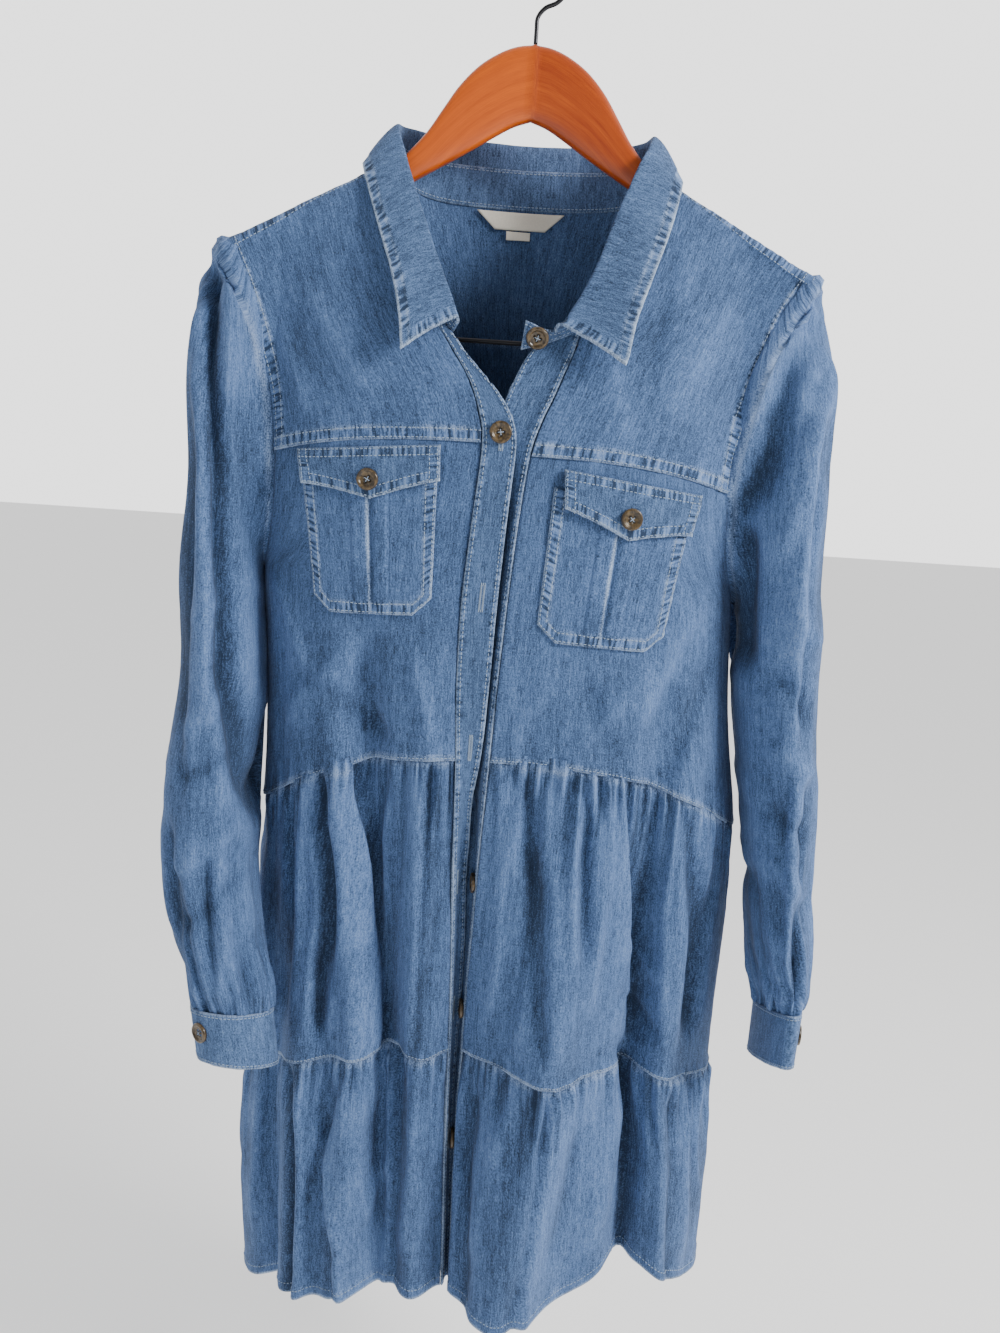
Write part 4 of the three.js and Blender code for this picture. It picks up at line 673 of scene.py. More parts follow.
class Paint:
    """A material whose Principled shader is fed by the nodes made here."""

    def __init__(self, name):
        self.material = bpy.data.materials.new(name)
        self.material.use_nodes = True
        self.tree = self.material.node_tree
        self.shader = self.tree.nodes["Principled BSDF"]

    def node(self, kind, settings, values, out=0):
        """A node of this kind: its settings are set first, then its sockets get values or links."""
        made = self.tree.nodes.new(kind)
        for key, value in settings.items():
            setattr(made, key, value)
        self.fill(made, values)
        return Value(self, made.outputs[out])

    def fill(self, made, values):
        for key, value in values.items():
            if isinstance(value, Value):
                self.tree.links.new(value.socket, made.inputs[key])
            else:
                made.inputs[key].default_value = value

    def mark(self, name):
        return self.node("ShaderNodeAttribute", {"attribute_name": name}, {}, "Fac")

    def cloth_places(self, across, down):
        """The cloth's own flat coordinates, times a number each way."""
        uv = self.node("ShaderNodeUVMap", {"uv_map": "cloth"}, {})
        return self.node("ShaderNodeVectorMath", {"operation": "MULTIPLY"}, {0: uv, 1: (across, down, 1)})

    def noise(self, places, detail=2.0, rough=0.5):
        values = {"Vector": places, "Scale": 1.0, "Detail": detail, "Roughness": rough}
        return self.node("ShaderNodeTexNoise", {}, values, "Fac")

    def blend(self, factor, a, b):
        """A colour between two others."""
        return self.node("ShaderNodeMix", {"data_type": "RGBA"}, {0: factor, 6: a, 7: b}, 2)

    def bump(self, height, distance, strength=1.0):
        self.fill(self.shader, {"Normal": self.node("ShaderNodeBump", {}, {
            "Height": height, "Distance": distance, "Strength": strength})})


def denim(name, deep, mid, pale):
    """Indigo warp with white weft: grain, short slubs, a slow mottle and twill, barred seams and pale wear, with
    painted shade in the hollows and painted light on the ridges from the relief's height, and painted shade in the
    creases of the small gathers.
    """
    paint = Paint(name)
    grain = paint.noise(paint.cloth_places(1150, 700), 3.0, 0.75)
    streak = paint.noise(paint.cloth_places(820, 130), 2.0, 0.6)
    slub = paint.noise(paint.cloth_places(260, 26), 2.0, 0.5)
    mottle = paint.noise(paint.cloth_places(24, 15), 3.0, 0.6)
    bars_over = paint.noise(paint.cloth_places(310, 40), 1.0, 0.5)
    bars_down = paint.noise(paint.cloth_places(40, 310), 1.0, 0.5)
    fell = paint.mark("fell")
    bars = fell.clamped() * (bars_over - 0.5) + (fell * -1).clamped() * (bars_down - 0.5)
    light = (grain - 0.5) * 2.6 + (streak - 0.5) * 1.5 + (slub - 0.5) * 0.8 + (mottle - 0.5) * 0.8 + bars * 4.5
    folds = paint.noise(paint.cloth_places(185, 14), 1.0, 0.5) - 0.5
    # The small gathers: their stripes bump the cloth and also paint shade into its creases.
    drawn = paint.mark("drawn") * folds
    speck = paint.noise(paint.cloth_places(950, 700), 1.0, 0.6) - 0.5
    # Painted shade and light: the relief's height darkens the hollows and lightens the ridges, and the gathers paint
    # shaded creases.
    light = light + paint.mark("rise") * 0.07 + drawn * 2.6 + speck * 0.6
    worn = paint.mark("wear_and_painted_shade") * ((mottle - 0.5) * 1.5 + (grain - 0.5) * 2.0 + 0.62)
    ground = paint.blend((light + 0.5).clamped(), deep, mid)
    colour = paint.blend((worn + (light - 0.3) * 0.3).clamped(), ground, pale)
    paint.fill(paint.shader, {"Base Color": colour, "Roughness": 0.88, "Specular IOR Level": 0.2,
                              "Sheen Weight": 0.05, "Sheen Roughness": 0.5})
    paint.bump((streak + grain + bars * 3.0) * 0.14 + drawn * 1.5, 0.004, 0.6)
    return paint.material


DEEP = (0.02, 0.038, 0.08, 1)
MID = (0.105, 0.19, 0.4, 1)
PALE = (0.42, 0.53, 0.7, 1)
DENIM = denim("denim", DEEP, MID, PALE)
DENIM_DOUBLE = denim("denim_double", DEEP, (0.11, 0.195, 0.39, 1), PALE)


def plain(name, colour, roughness, **more):
    """One finish with a fine mottle in its colour."""
    paint = Paint(name)
    where = paint.node("ShaderNodeTexCoord", {}, {}, "Object")
    fine = paint.node("ShaderNodeTexNoise", {}, {"Vector": where, "Scale": 900.0, "Detail": 2.0}, "Fac")
    darker = tuple(0.8 * c for c in colour[:3]) + (1,)
    paint.fill(paint.shader, {"Base Color": paint.blend(fine, darker, colour), "Roughness": roughness, **more})
    return paint.material


def wood_paint():
    """Reddish varnished wood: rings drawn out along each arm, with fine pores, under a satin coat, and each arm's
    painted light and shade added to its tone.
    """
    paint = Paint("cherry_wood")
    where = paint.node("ShaderNodeUVMap", {"uv_map": "cloth"}, {})
    long = paint.node("ShaderNodeVectorMath", {"operation": "MULTIPLY"}, {0: where, 1: (9, 150, 1)})
    grain = paint.noise(long, 4.0, 0.6)
    fine = paint.noise(paint.node("ShaderNodeVectorMath", {"operation": "MULTIPLY"}, {0: where, 1: (60, 1500, 1)}), 2.0)
    # The mark adds painted light to the left arm and painted shade to the right one.
    tone = ((grain - 0.5) * 0.9 + (fine - 0.5) * 0.5 + 0.45 + paint.mark("wear_and_painted_shade")).clamped()
    colour = paint.blend(tone, (0.22, 0.02, 0.0005, 1), (0.66, 0.12, 0.001, 1))
    paint.fill(paint.shader, {"Base Color": colour, "Roughness": 0.42, "Coat Weight": 0.12, "Coat Roughness": 0.3})
    paint.bump(fine, 0.0002, 0.3)
    return paint.material


def horn_paint():
    """Olive-brown horn with cloudy streaks, and painted shade in the holes."""
    paint = Paint("horn")
    where = paint.node("ShaderNodeTexCoord", {}, {}, "Object")
    cloud = paint.node("ShaderNodeTexNoise", {}, {"Vector": where, "Scale": 260.0, "Detail": 3.0, "Distortion": 1.5}, "Fac")
    tone = paint.blend(((cloud - 0.5) * 3.2 + 0.45).clamped(), (0.02, 0.012, 0.005, 1), (0.12, 0.078, 0.032, 1))
    # Painted shade: the mark blends the holes towards near black.
    colour = paint.blend(paint.mark("wear_and_painted_shade").clamped(), tone, (0.012, 0.01, 0.009, 1))
    paint.fill(paint.shader, {"Base Color": colour, "Roughness": 0.3, "Coat Weight": 0.15, "Coat Roughness": 0.12})
    return paint.material


THREAD = plain("thread", (0.33, 0.42, 0.55, 1), 0.8)
CREAM = plain("cream_label", (0.83, 0.8, 0.7, 1), 0.75)
STEEL = plain("dark_wire", (0.05, 0.05, 0.055, 1), 0.35, Metallic=1.0)
HORN = horn_paint()
WOOD = wood_paint()


# Stitches

class Thread:
    """Rows of stitches, each a small grain that dips into the cloth at both ends."""

    def __init__(self):
        self.centres, self.frames, self.sizes = [], [], []

    def sew(self, cloth, u, v, pitch=None, lift=0.12, out=0.0, stitch=1.0):
        """Stitches at even spaces along the line through arrays of u and v on a piece of cloth."""
        pitch = pitch or STITCH["pitch"]
        u, v = np.broadcast_arrays(np.asarray(u, float), np.asarray(v, float))
        points, normals = cloth.at(u, v, lift + out)
        along = lengths(points, 0)
        places = np.arange(pitch / 2, along[-1], pitch)
        def read(values):
            return np.stack([np.interp(places, along, values[:, k]) for k in range(3)], 1)
        self.add(read(points), unit(read(np.gradient(points, axis=0))), read(normals), stitch)

    def add(self, centres, along, normals, stitch=1.0):
        side = unit(np.cross(normals, along))
        self.centres.append(centres)
        self.frames.append(np.stack([along, side, unit(np.cross(along, side))], 1))
        self.sizes.append(np.full(len(centres), stitch))

    def finish(self, name):
        """All grains as one mesh: two rings of four points and a tip at each end of every one."""
        long, wide, high = STITCH["long"], STITCH["wide"], STITCH["high"]
        ring = [(0, -wide / 2, 0), (0, 0, -high / 2), (0, wide / 2, 0), (0, 0, high / 2)]
        template = np.array([(s * 0.3 * long + x, y, z) for s in (-1, 1) for x, y, z in ring]
                            + [(-long / 2, 0, -high / 2), (long / 2, 0, -high / 2)])
        quads = np.array([(k, (k + 1) % 4, 4 + (k + 1) % 4, 4 + k) for k in range(4)])
        tris = np.array([(8, (k + 1) % 4, k) for k in range(4)] + [(9, 4 + k, 4 + (k + 1) % 4) for k in range(4)])
        centres, frames, sizes = (np.concatenate(x) for x in (self.centres, self.frames, self.sizes))
        scaled = template[None] * sizes[:, None, None] ** [1.0, 0.5, 0.5]
        points = centres[:, None] + np.einsum("nij,njl->nil", scaled, frames)
        first = (np.arange(len(centres)) * len(template))[:, None, None]
        return build(name, points.reshape(-1, 3), [(first + quads).reshape(-1, 4), (first + tris).reshape(-1, 3)],
                     THREAD)


BODY_THREAD, COLLAR_THREAD, POCKET_THREAD, SLEEVE_THREAD, BAND_THREAD = (Thread() for _ in range(5))


def row_across(thread, cloth, from_edge, top=True, start=0.0, end=1.0, **more):
    """A row of stitches a set length in from a piece's top or low edge."""
    u = steps(240, start, end)
    distance = cloth.top if top else cloth.low
    order = slice(None) if top else slice(None, None, -1)
    v = np.array([np.interp(from_edge, distance[order, k], cloth.vs[order]) for k in range(len(cloth.us))])
    thread.sew(cloth, u, np.interp(u, cloth.us, v), **more)


def row_down(thread, cloth, from_edge, left=True, start=0.0, end=1.0, **more):
    """A row of stitches a set length in from a piece's left or right edge."""
    v = steps(240, start, end)
    distance = cloth.left if left else cloth.right
    order = slice(None) if left else slice(None, None, -1)
    u = np.array([np.interp(from_edge, distance[k, order], cloth.us[order]) for k in range(len(cloth.vs))])
    thread.sew(cloth, np.interp(v, cloth.vs, u), v, **more)


# Front yokes

def yoke_surface(side):
    """From the neck and band (u = 0) to the armhole, and from the shoulder ridge to the yoke seam."""
    sign, seam = SIGN[side], SEAM_YOKE[side]
    band = BAND[side]
    neck_start, neck_end = (4.75, 1.4) if side == "left" else (11.25, 15.15)
    neck_part = 0.62
    width = float(SECTIONS(side, seam))
    drop = float(SECTIONS("drop_" + side, seam))
    end_z = seam - drop * float(SECTIONS("reach_" + side, seam)) ** DROOP

    def surface(u, v):
        if side == "left":
            u = 1 - u
        neck = collar_point("n", mix(neck_start, neck_end, np.clip(v / neck_part, 0, 1)))
        band_z = mix(float(COLLAR("nz", neck_end)) - 0.6, seam, (v - neck_part) / (1 - neck_part))
        upper = v < neck_part
        ix = np.where(upper, neck[..., 0] + sign * 1.2, seam_x(band, band_z) + sign * BAND_CLEAR)
        iz = np.where(upper, neck[..., 2] - 0.6, band_z)
        oz = mix(SHOULDER["tip_z"] - 1, end_z, v)
        x = mix(ix, sign * ARMHOLE(side, oz), u)
        straight = mix(iz, oz, u)
        seam_z = seam - drop * (np.abs(x) / width) ** DROOP
        ridge = np.minimum(ridge_z(x) - 0.04, straight)
        z = straight + (seam_z - mix(seam, end_z, u)) * v ** 3 + (ridge - straight) * (1 - v) ** 3
        return chest_at(x, z)
    return surface


def make_yoke(side):
    outer_left = side == "left"
    seed = 3 if outer_left else 5

    def relief(c):
        arm = c.left if outer_left else c.right
        seam = pucker(c.low, c.s, seed, 0.5) + pucker(arm, c.t, seed + 1, 0.4) + pucker(c.top, c.s, seed + 2, 0.3)
        steps_up = felled(c.low, 8.5) + felled(arm, 9, 0.6) + felled(c.top, 9, 0.5) * ease((c.top - 1) / 2)
        return 0.35 + seam + steps_up + crumple(c, seed, 0.45) + creases(c, YOKE_CREASES)

    def wear_and_painted_shade(c):
        arm = c.left if outer_left else c.right
        return 0.7 * edge_wear(c.low) + 0.45 * edge_wear(c.low - 8.5, 1.4) + 0.35 * edge_wear(arm - 9, 1.5)

    def fell(c):
        arm = c.left if outer_left else c.right
        return barred(c.low, 8) + barred(c.top, 8) - barred(arm, 9)

    vs = np.concatenate([steps(12, 0, 0.06), steps(76, 0.06, 0.998)[1:]])
    cloth = Cloth(yoke_surface(side), steps(96), vs, relief, wear_and_painted_shade, fell=fell)
    cloth.shell("yoke_" + side, DENIM, ["front_yoke_" + side], 1.2, flat=(0.19, 0.2), area=0.024)
    for distance in (1.8, 8):
        row_across(BODY_THREAD, cloth, distance, top=False)
        row_down(BODY_THREAD, cloth, distance + 0.6, left=outer_left)
    row_across(BODY_THREAD, cloth, 8.5)
    return cloth


# Body panels

def tucked(c, top=True, deep=1.3, wide=TUCK):
    """The drop of an edge that runs in under its neighbour."""
    distance = c.top if top else c.low
    return -deep * (1 - ease((distance - wide * 0.5) / (wide * 0.6)))


def panel_surface(start, end, top, low):
    """The body between two girths that may change with the level, from one level to another."""
    def surface(u, v):
        level = mix(top, low, v)
        return body_girth(mix(start(level), end(level), u), level)
    return surface


def panel_ends(side):
    """The girths of a front panel's two edges: its side seam and its band's seam."""
    band = BAND[side]
    sign = SIGN[side]
    outer = (lambda level: sign * reach_girth(side, level))
    inner = (lambda level: girth_of_x(seam_x(band, level) + sign * BAND_CLEAR * 0.5, level))
    return (outer, inner) if side == "left" else (inner, outer)


def make_bodice(side):
    start, end = panel_ends(side)
    seed = 20 if side == "left" else 26

    def relief(c):
        seam = pucker(c.low, c.s, seed, 0.6, 9, 5)
        draw = gathers(c.s, c.low, seed + 8, 9.0, 0.32) * bell(c.low, 26)
        flank = 1.8 * bell(c.left if side == "left" else c.right, 14) * lean_on(c.points[..., 2])
        return (0.1 + tucked(c) + seam + draw + felled(c.low, 3.5, 0.4) + crumple(c, seed, 0.75)
                + creases(c, FRONT_CREASES) + flank)

    def wear_and_painted_shade(c):
        return 0.75 * edge_wear(c.low) + 0.3 * edge_wear(c.low - 4, 1.2)

    surface = panel_surface(start, end, SEAM_YOKE[side] + TUCK, SEAM_WAIST)
    cloth = Cloth(surface, steps(90), steps(116), relief, wear_and_painted_shade, drawn=lambda c: 0.5 * bell(c.low, 10))
    cloth.shell("bodice_" + side, DENIM, ["bodice_front_" + side], 1.1, flat=(0.2, 0.24))
    row_across(BODY_THREAD, cloth, 2.2, top=False)
    return cloth


def back_top(p):
    """The back's top edge, from the right shoulder tip over the neck to the left one."""
    c = 2 * p - 1
    share = np.abs(c) / 0.46
    neck = collar_point("n", mix(STATIONS / 2, np.where(c > 0, 5, 11), np.clip(share, 0, 1))) + [0, 0.6, -1.8]
    x = -np.sign(c) * mix(SHOULDER["inner"] + 1, SHOULDER["tip"], (np.abs(c) - 0.46) / 0.54)
    return np.where((share < 1)[..., None], neck, vec(x, arm_y(x) + 0.5, ridge_z(x) - 0.04))


def back_across(p, level):
    right = 2 * QUARTER - reach_girth("right", level)
    left = 2 * HALF - 2 * QUARTER + reach_girth("left", level)
    return body_girth(mix(right, left, p), level)


BACK_LEVEL = -337


def back_at(p, v):
    """The whole back: off the neck and the ridge to its first plain level (v = 0.5), then down to the waist."""
    low = back_across(p, mix(BACK_LEVEL, SEAM_WAIST, (v - 0.5) * 2))
    t = np.clip(2 * v, 0, 1)
    a, b = back_top(p), back_across(p, BACK_LEVEL)
    c = np.abs(2 * p - 1)
    rise = RIDGE_RISE * ease((c - 0.391) / 0.12)
    z = mix(a[..., 2], b[..., 2], t)
    sign = np.where(p < 0.5, 1, -1)
    arm = np.where(p < 0.5, ARMHOLE("right", mix(SHOULDER["tip_z"], b[..., 2], t)),
                   ARMHOLE("left", mix(SHOULDER["tip_z"], b[..., 2], t)))
    edge = np.abs(back_across(np.where(p < 0.5, 0.0, 1.0), BACK_LEVEL)[..., 0])
    x = mix(a[..., 0], b[..., 0], t) + sign * (arm - mix(SHOULDER["tip"], edge, t)) * c ** 2
    y = a[..., 1] + rise * quarter_round(a[..., 2] - z) + (b[..., 1] - a[..., 1] - rise) * forward(t)
    return np.where((v >= 0.5)[..., None], low, vec(x, y, z))


def make_back():
    def relief(c):
        seam = pucker(c.low, c.s, 40, 0.6, 9, 5) + pucker(c.top, c.s, 41, 0.3)
        draw = gathers(c.s, c.low, 44, 9.0, 0.32) * bell(c.low, 26)
        yoke = felled(np.abs(c.t - 95), 4, 0.3) + pucker(c.t - 95, c.s, 43, 0.4)
        arm = np.minimum(c.left, c.right)
        hole = (felled(arm, 9, 0.5) + pucker(arm, c.t, 46, 0.4)) * (1 - ease((c.t - 215) / 20))
        return 0.1 + seam + draw + yoke + hole + felled(c.low, 3.5, 0.4) + crumple(c, 47, 0.8) + creases(
            c, BACK_CREASES, front=False)

    def wear_and_painted_shade(c):
        return 0.75 * edge_wear(c.low) + 0.4 * edge_wear(c.t - 99, 1.5)

    vs = np.concatenate([steps(12, 0, 0.03), steps(100, 0.03, 1)[1:]])
    cloth = Cloth(back_at, steps(148), vs, relief, wear_and_painted_shade)
    cloth.shell("bodice_back", DENIM, ["bodice_back"], 1.1, flat=(0.44, 0.43))
    row_across(BODY_THREAD, cloth, 2.2, top=False)
    u = steps(300, 0.04, 0.96)
    down = np.interp([91, 98], cloth.t[:, 0], cloth.vs)
    for v in down:
        BODY_THREAD.sew(cloth, u, np.full_like(u, v))
    for side in (True, False):
        row_down(BODY_THREAD, cloth, 8.5, left=side, start=0.02, end=0.52)
    return cloth


def make_tier(name, top, low, part):
    """A gathered tier's panel: 'left' or 'right' of the front, or 'back'."""
    last = low == HEM
    seed = {"left": 60, "right": 70, "back": 80}[part] + (5 if last else 0)
    if part == "back":
        start, end = (lambda level: QUARTER + 0 * level), (lambda level: 2 * HALF - QUARTER + 0 * level)
    else:
        band, sign = BAND[part], SIGN[part]
        outer = (lambda level: sign * QUARTER + 0 * level)
        inner = (lambda level: girth_of_x(seam_x(band, level) + sign * BAND_CLEAR * 0.5, level))
        start, end = (outer, inner) if part == "left" else (inner, outer)
    over = TUCK
    lower = low if last else low

    def relief(c):
        below = np.maximum(c.top - over, 0)
        height = tucked(c, deep=2.0) + gathers(c.s, below, seed) + crumple(c, seed + 1, 0.85)
        front = part != "back"
        height = height + creases(c, FRONT_CREASES if front else BACK_CREASES, front)
        height = height + fold_lines(c, FRONT_FOLDS if front else BACK_FOLDS, front)
        if last:
            height = height + felled(c.low, 8.5, 0.9) + pucker(c.low - 8, c.s, seed + 2, 0.5)
        else:
            height = height + felled(c.low, 3.5, 0.4) + pucker(c.low, c.s, seed + 2, 0.7, 9, 5)
        return height

    def wear_and_painted_shade(c):
        if last:
            return 0.9 * edge_wear(c.low, 1.3) + 0.35 * edge_wear(c.low - 9, 1.2) + 0.35 * bell(c.top - over - 2, 3)
        return 0.75 * edge_wear(c.low) + 0.35 * bell(c.top - over - 2, 3)

    count, rows = (204, 66) if part == "back" else (142, 80)
    def drawn(c):
        reach = 25 + 16 * noise(c.s / 13, 0.0, seed + 9)
        return 1.2 * np.exp(-np.maximum(c.top - over, 0) / reach) + (0 if last else 0.35 * bell(c.low, 9))

    cloth = Cloth(panel_surface(start, end, top + over, lower), steps(count), steps(rows), relief, wear_and_painted_shade, drawn=drawn)
    node = f"{name}_back" if part == "back" else f"{name}_front_{part}"
    flat = (0.5, 0.25) if part == "back" else (0.25, 0.25)
    cloth.shell(f"{name}_{part}", DENIM, [node], 1.0, flat=flat if not last else (flat[0], 0.21), held="gathered",
                area=None)
    row_across(BODY_THREAD, cloth, 7.6 if last else 2.2, top=False)
    return cloth


# Bands

def make_band(side):
    band = BAND[side]
    raw = band_surface(band)
    over = side == "left"
    surface = raw if over else (lambda u, v: raw(1 - u, v))
    seed = 90 if over else 95

    def relief(c):
        seam = pucker(c.left, c.t, seed, 0.3, 4) + pucker(c.right, c.t, seed + 1, 0.35, 4)
        return seam + crumple(c, seed + 2, 0.25) + 0.3 * bell(c.left - 2, 2) + 0.3 * bell(c.right - 2, 2)

    def wear_and_painted_shade(c):
        return 0.8 * edge_wear(c.left, 1.1) + 0.9 * edge_wear(c.right, 1.1)

    cloth = Cloth(surface, steps(16), steps(350), relief, wear_and_painted_shade, fell=lambda c: -0.7 * barred(
        np.minimum(c.left, c.right), 3))
    cloth.shell("band_over" if over else "band_under", DENIM_DOUBLE,
                ["placket_over" if over else "placket_under"], 1.9, 1.0 if over else 0.2,
                flat=(0.024, 0.79))
    for left in (True, False):
        row_down(BAND_THREAD, cloth, 2.6, left=left, out=1.0 if over else 0.2)
    return cloth


# Sleeves. Each row is an oval: its outer and inner points, its middle and half depth, how far it has left the
# armhole's shape and how much higher its front is
SLEEVE = {
    "left": Table(
        "at out_x out_z in_x in_z y deep own tilt",
        (0, -208, -213, -182, -441, -8, 44, 0, 0), (1, -217, -221, -183, -444, -10, 47, 0.5, 0),
        (2, -227, -240, -183, -449, -12, 50, 0.85, 0), (3, -232, -276, -182, -456, -14, 51, 1, 0),
        (4, -234, -326, -182, -466, -16, 51, 1, 0), (5, -236, -385, -181, -480, -18, 51, 1, 0),
        (6, -239, -442, -179, -501, -22, 51, 1, 0), (7, -238, -508, -178, -540, -28, 50, 1, 0),
        (8, -241, -568, -177, -585, -36, 48, 1, 0), (9, -242, -620, -176, -630, -46, 45, 1, 0),
        (10, -238, -670, -172, -678, -58, 40, 1, 2), (11, -228, -712, -163, -716, -71, 35, 1, 4),
        (12, -216, -742, -154, -744, -82, 30, 1, 6), (13, -210, -761, -151, -763, -88, 26, 1, 7),
        (14, -204, -799, -145, -805, -93, 25, 1, 8),
    ),
    "right": Table(
        "at out_x out_z in_x in_z y deep own tilt",
        (0, 207, -213, 177, -445, -8, 44, 0, 0), (1, 212, -221, 178, -448, -10, 47, 0.5, 0),
        (2, 221, -240, 178, -453, -12, 50, 0.85, 0), (3, 229, -276, 179, -460, -13, 51, 1, 0),
        (4, 235, -326, 180, -470, -14, 51, 1, 0), (5, 239, -385, 182, -483, -16, 51, 1, 0),
        (6, 243, -442, 186, -503, -18, 51, 1, 0), (7, 246, -508, 191, -535, -20, 50, 1, 0),
        (8, 249, -565, 198, -578, -24, 48, 1, 0), (9, 251, -620, 206, -628, -30, 46, 1, 0),
        (10, 252, -665, 210, -670, -36, 44, 1, 4), (11, 255, -705, 217, -708, -42, 44, 1, 10),
        (12, 253, -735, 226, -738, -47, 45, 1, 16), (13, 249, -753, 229, -756, -50, 46, 1, 18),
        (14, 247, -796, 229, -800, -52, 46, 1, 20),
    ),
}
CUFF_TOP, CUFF_LOW = 13, 14
INSIDE = 0.35  # how far the sleeve's cloth runs in under the armhole, in stations


def armhole_at(side, turn):
    """The armhole's edge once round: tip (0), down the front to the underarm (0.5) and up the back."""
    sign, seam = SIGN[side], SEAM_YOKE[side]
    front = turn <= 0.5
    f = np.where(front, turn * 2, (1 - turn) * 2)
    t_upper, t_lower = np.clip(f / 0.6, 0, 1), np.clip((f - 0.6) / 0.4, 0, 1)
    end = 1.0 if side == "left" else 0.0

    def side_angle(level):
        return sign * np.arcsin(np.clip(SECTIONS("reach_" + side, level), -1, 1))

    end_z = body_at(side_angle(seam), seam)[2]
    z = mix(SHOULDER["tip_z"] - 1, end_z, t_upper)
    front_upper = chest_at(sign * ARMHOLE(side, z), z)
    back_upper = back_at(np.full_like(turn, end), t_upper * 0.5)
    level = mix(seam, UNDERARM, t_lower)
    front_lower = body_at(side_angle(level), level)
    back_lower = back_across(np.full_like(turn, end), mix(BACK_LEVEL, UNDERARM, t_lower))
    upper = (f < 0.6)[..., None]
    return np.where(front[..., None], np.where(upper, front_upper, front_lower),
                    np.where(upper, back_upper, back_lower))


def sleeve_surface(side):
    """Ovals down the sleeve that grow out of the armhole; u is once round from the outer side by the front."""
    sign, table = SIGN[side], SLEEVE[side]

    def surface(u, at):
        turn = u % 1
        angle = 2 * np.pi * turn
        out = (np.cos(angle) + 1) / 2
        station = np.maximum(at, 0)
        oval = vec(mix(table("in_x", station), table("out_x", station), out),
                   table("y", station) - table("deep", station) * np.sin(angle),
                   mix(table("in_z", station), table("out_z", station), out)
                   + table("tilt", station) * np.sin(angle))
        hole = armhole_at(side, turn)
        under = (1 - out) ** 3
        hole = hole + vec(sign * (1.5 + 0.6 * under), 0, -0.6 - 2.2 * under)
        inside = vec(sign * 110.0 + 0 * turn, -5, hole[..., 2] - 10)
        hole = hole + unit(inside - hole) * (np.maximum(-at, 0) / INSIDE * 9)[..., None]
        p = mix(hole, oval, np.clip(table("own", station), 0, 1)[..., None])
        return np.where((at < 0)[..., None], hole, p)
    return surface


SLEEVE_CREASES = {
    "left": (
        (-222, -300, -226, -600, 9, -5.0, 0.3), (-206, -330, -208, -560, 8, 2.4, 0.2), (-190, -520, -226, -560, 7, 2.2, 0.2),
        (-186, -570, -230, -590, 7, -2.6, 0.2), (-180, -620, -226, -660, 7, 2.4, 0.2), (-176, -660, -220, -700, 6, -2.2, 0.2),
        (-226, -640, -200, -750, 6, -3.0, 0.3), (-190, -680, -184, -755, 6, 2.2, 0.2), (-170, -700, -166, -758, 5, -2.0, 0.2),
        (-212, -690, -196, -756, 5, 2.0, 0.2), (-208, -240, -196, -330, 7, 1.8, 0.2), (-196, -290, -184, -430, 7, -1.8, 0.2),
        (-184, -440, -220, -480, 8, 2.0, 0.2),
    ),
    "right": (
        (226, -250, 190, -420, 9, 3.4, 0.3), (214, -262, 178, -380, 8, -2.6, 0.2), (200, -430, 236, -470, 8, 2.4, 0.2),
        (194, -480, 240, -520, 8, -2.4, 0.2), (200, -540, 244, -560, 7, 2.6, 0.2), (204, -580, 246, -610, 7, -2.6, 0.2),
        (210, -620, 248, -660, 7, 2.4, 0.2), (232, -640, 240, -745, 6, -2.6, 0.2), (222, -670, 234, -748, 6, 2.4, 0.2),
        (236, -300, 240, -460, 8, -2.4, 0.2), (222, -330, 214, -460, 8, 2.2, 0.2),
    ),
}
SLEEVE_BACK_CREASES = {
    side: tuple((SIGN[side] * x0, z0, SIGN[side] * x1, z1, w, h, lean) for x0, z0, x1, z1, w, h, lean in (
        (215, -270, 200, -430, 9, 2.6, 0.2), (196, -470, 238, -510, 8, -2.2, 0.2), (200, -560, 240, -600, 8, 2.4, 0.2),
        (205, -640, 236, -680, 7, -2.2, 0.2), (226, -300, 228, -480, 8, -2.2, 0.2)))
    for side in ("left", "right")
}


def lean_on(z):
    """1 over the heights where a sleeve leans on the body's side."""
    return ease((-420 - z) / 30) * ease((z + 660) / 30)


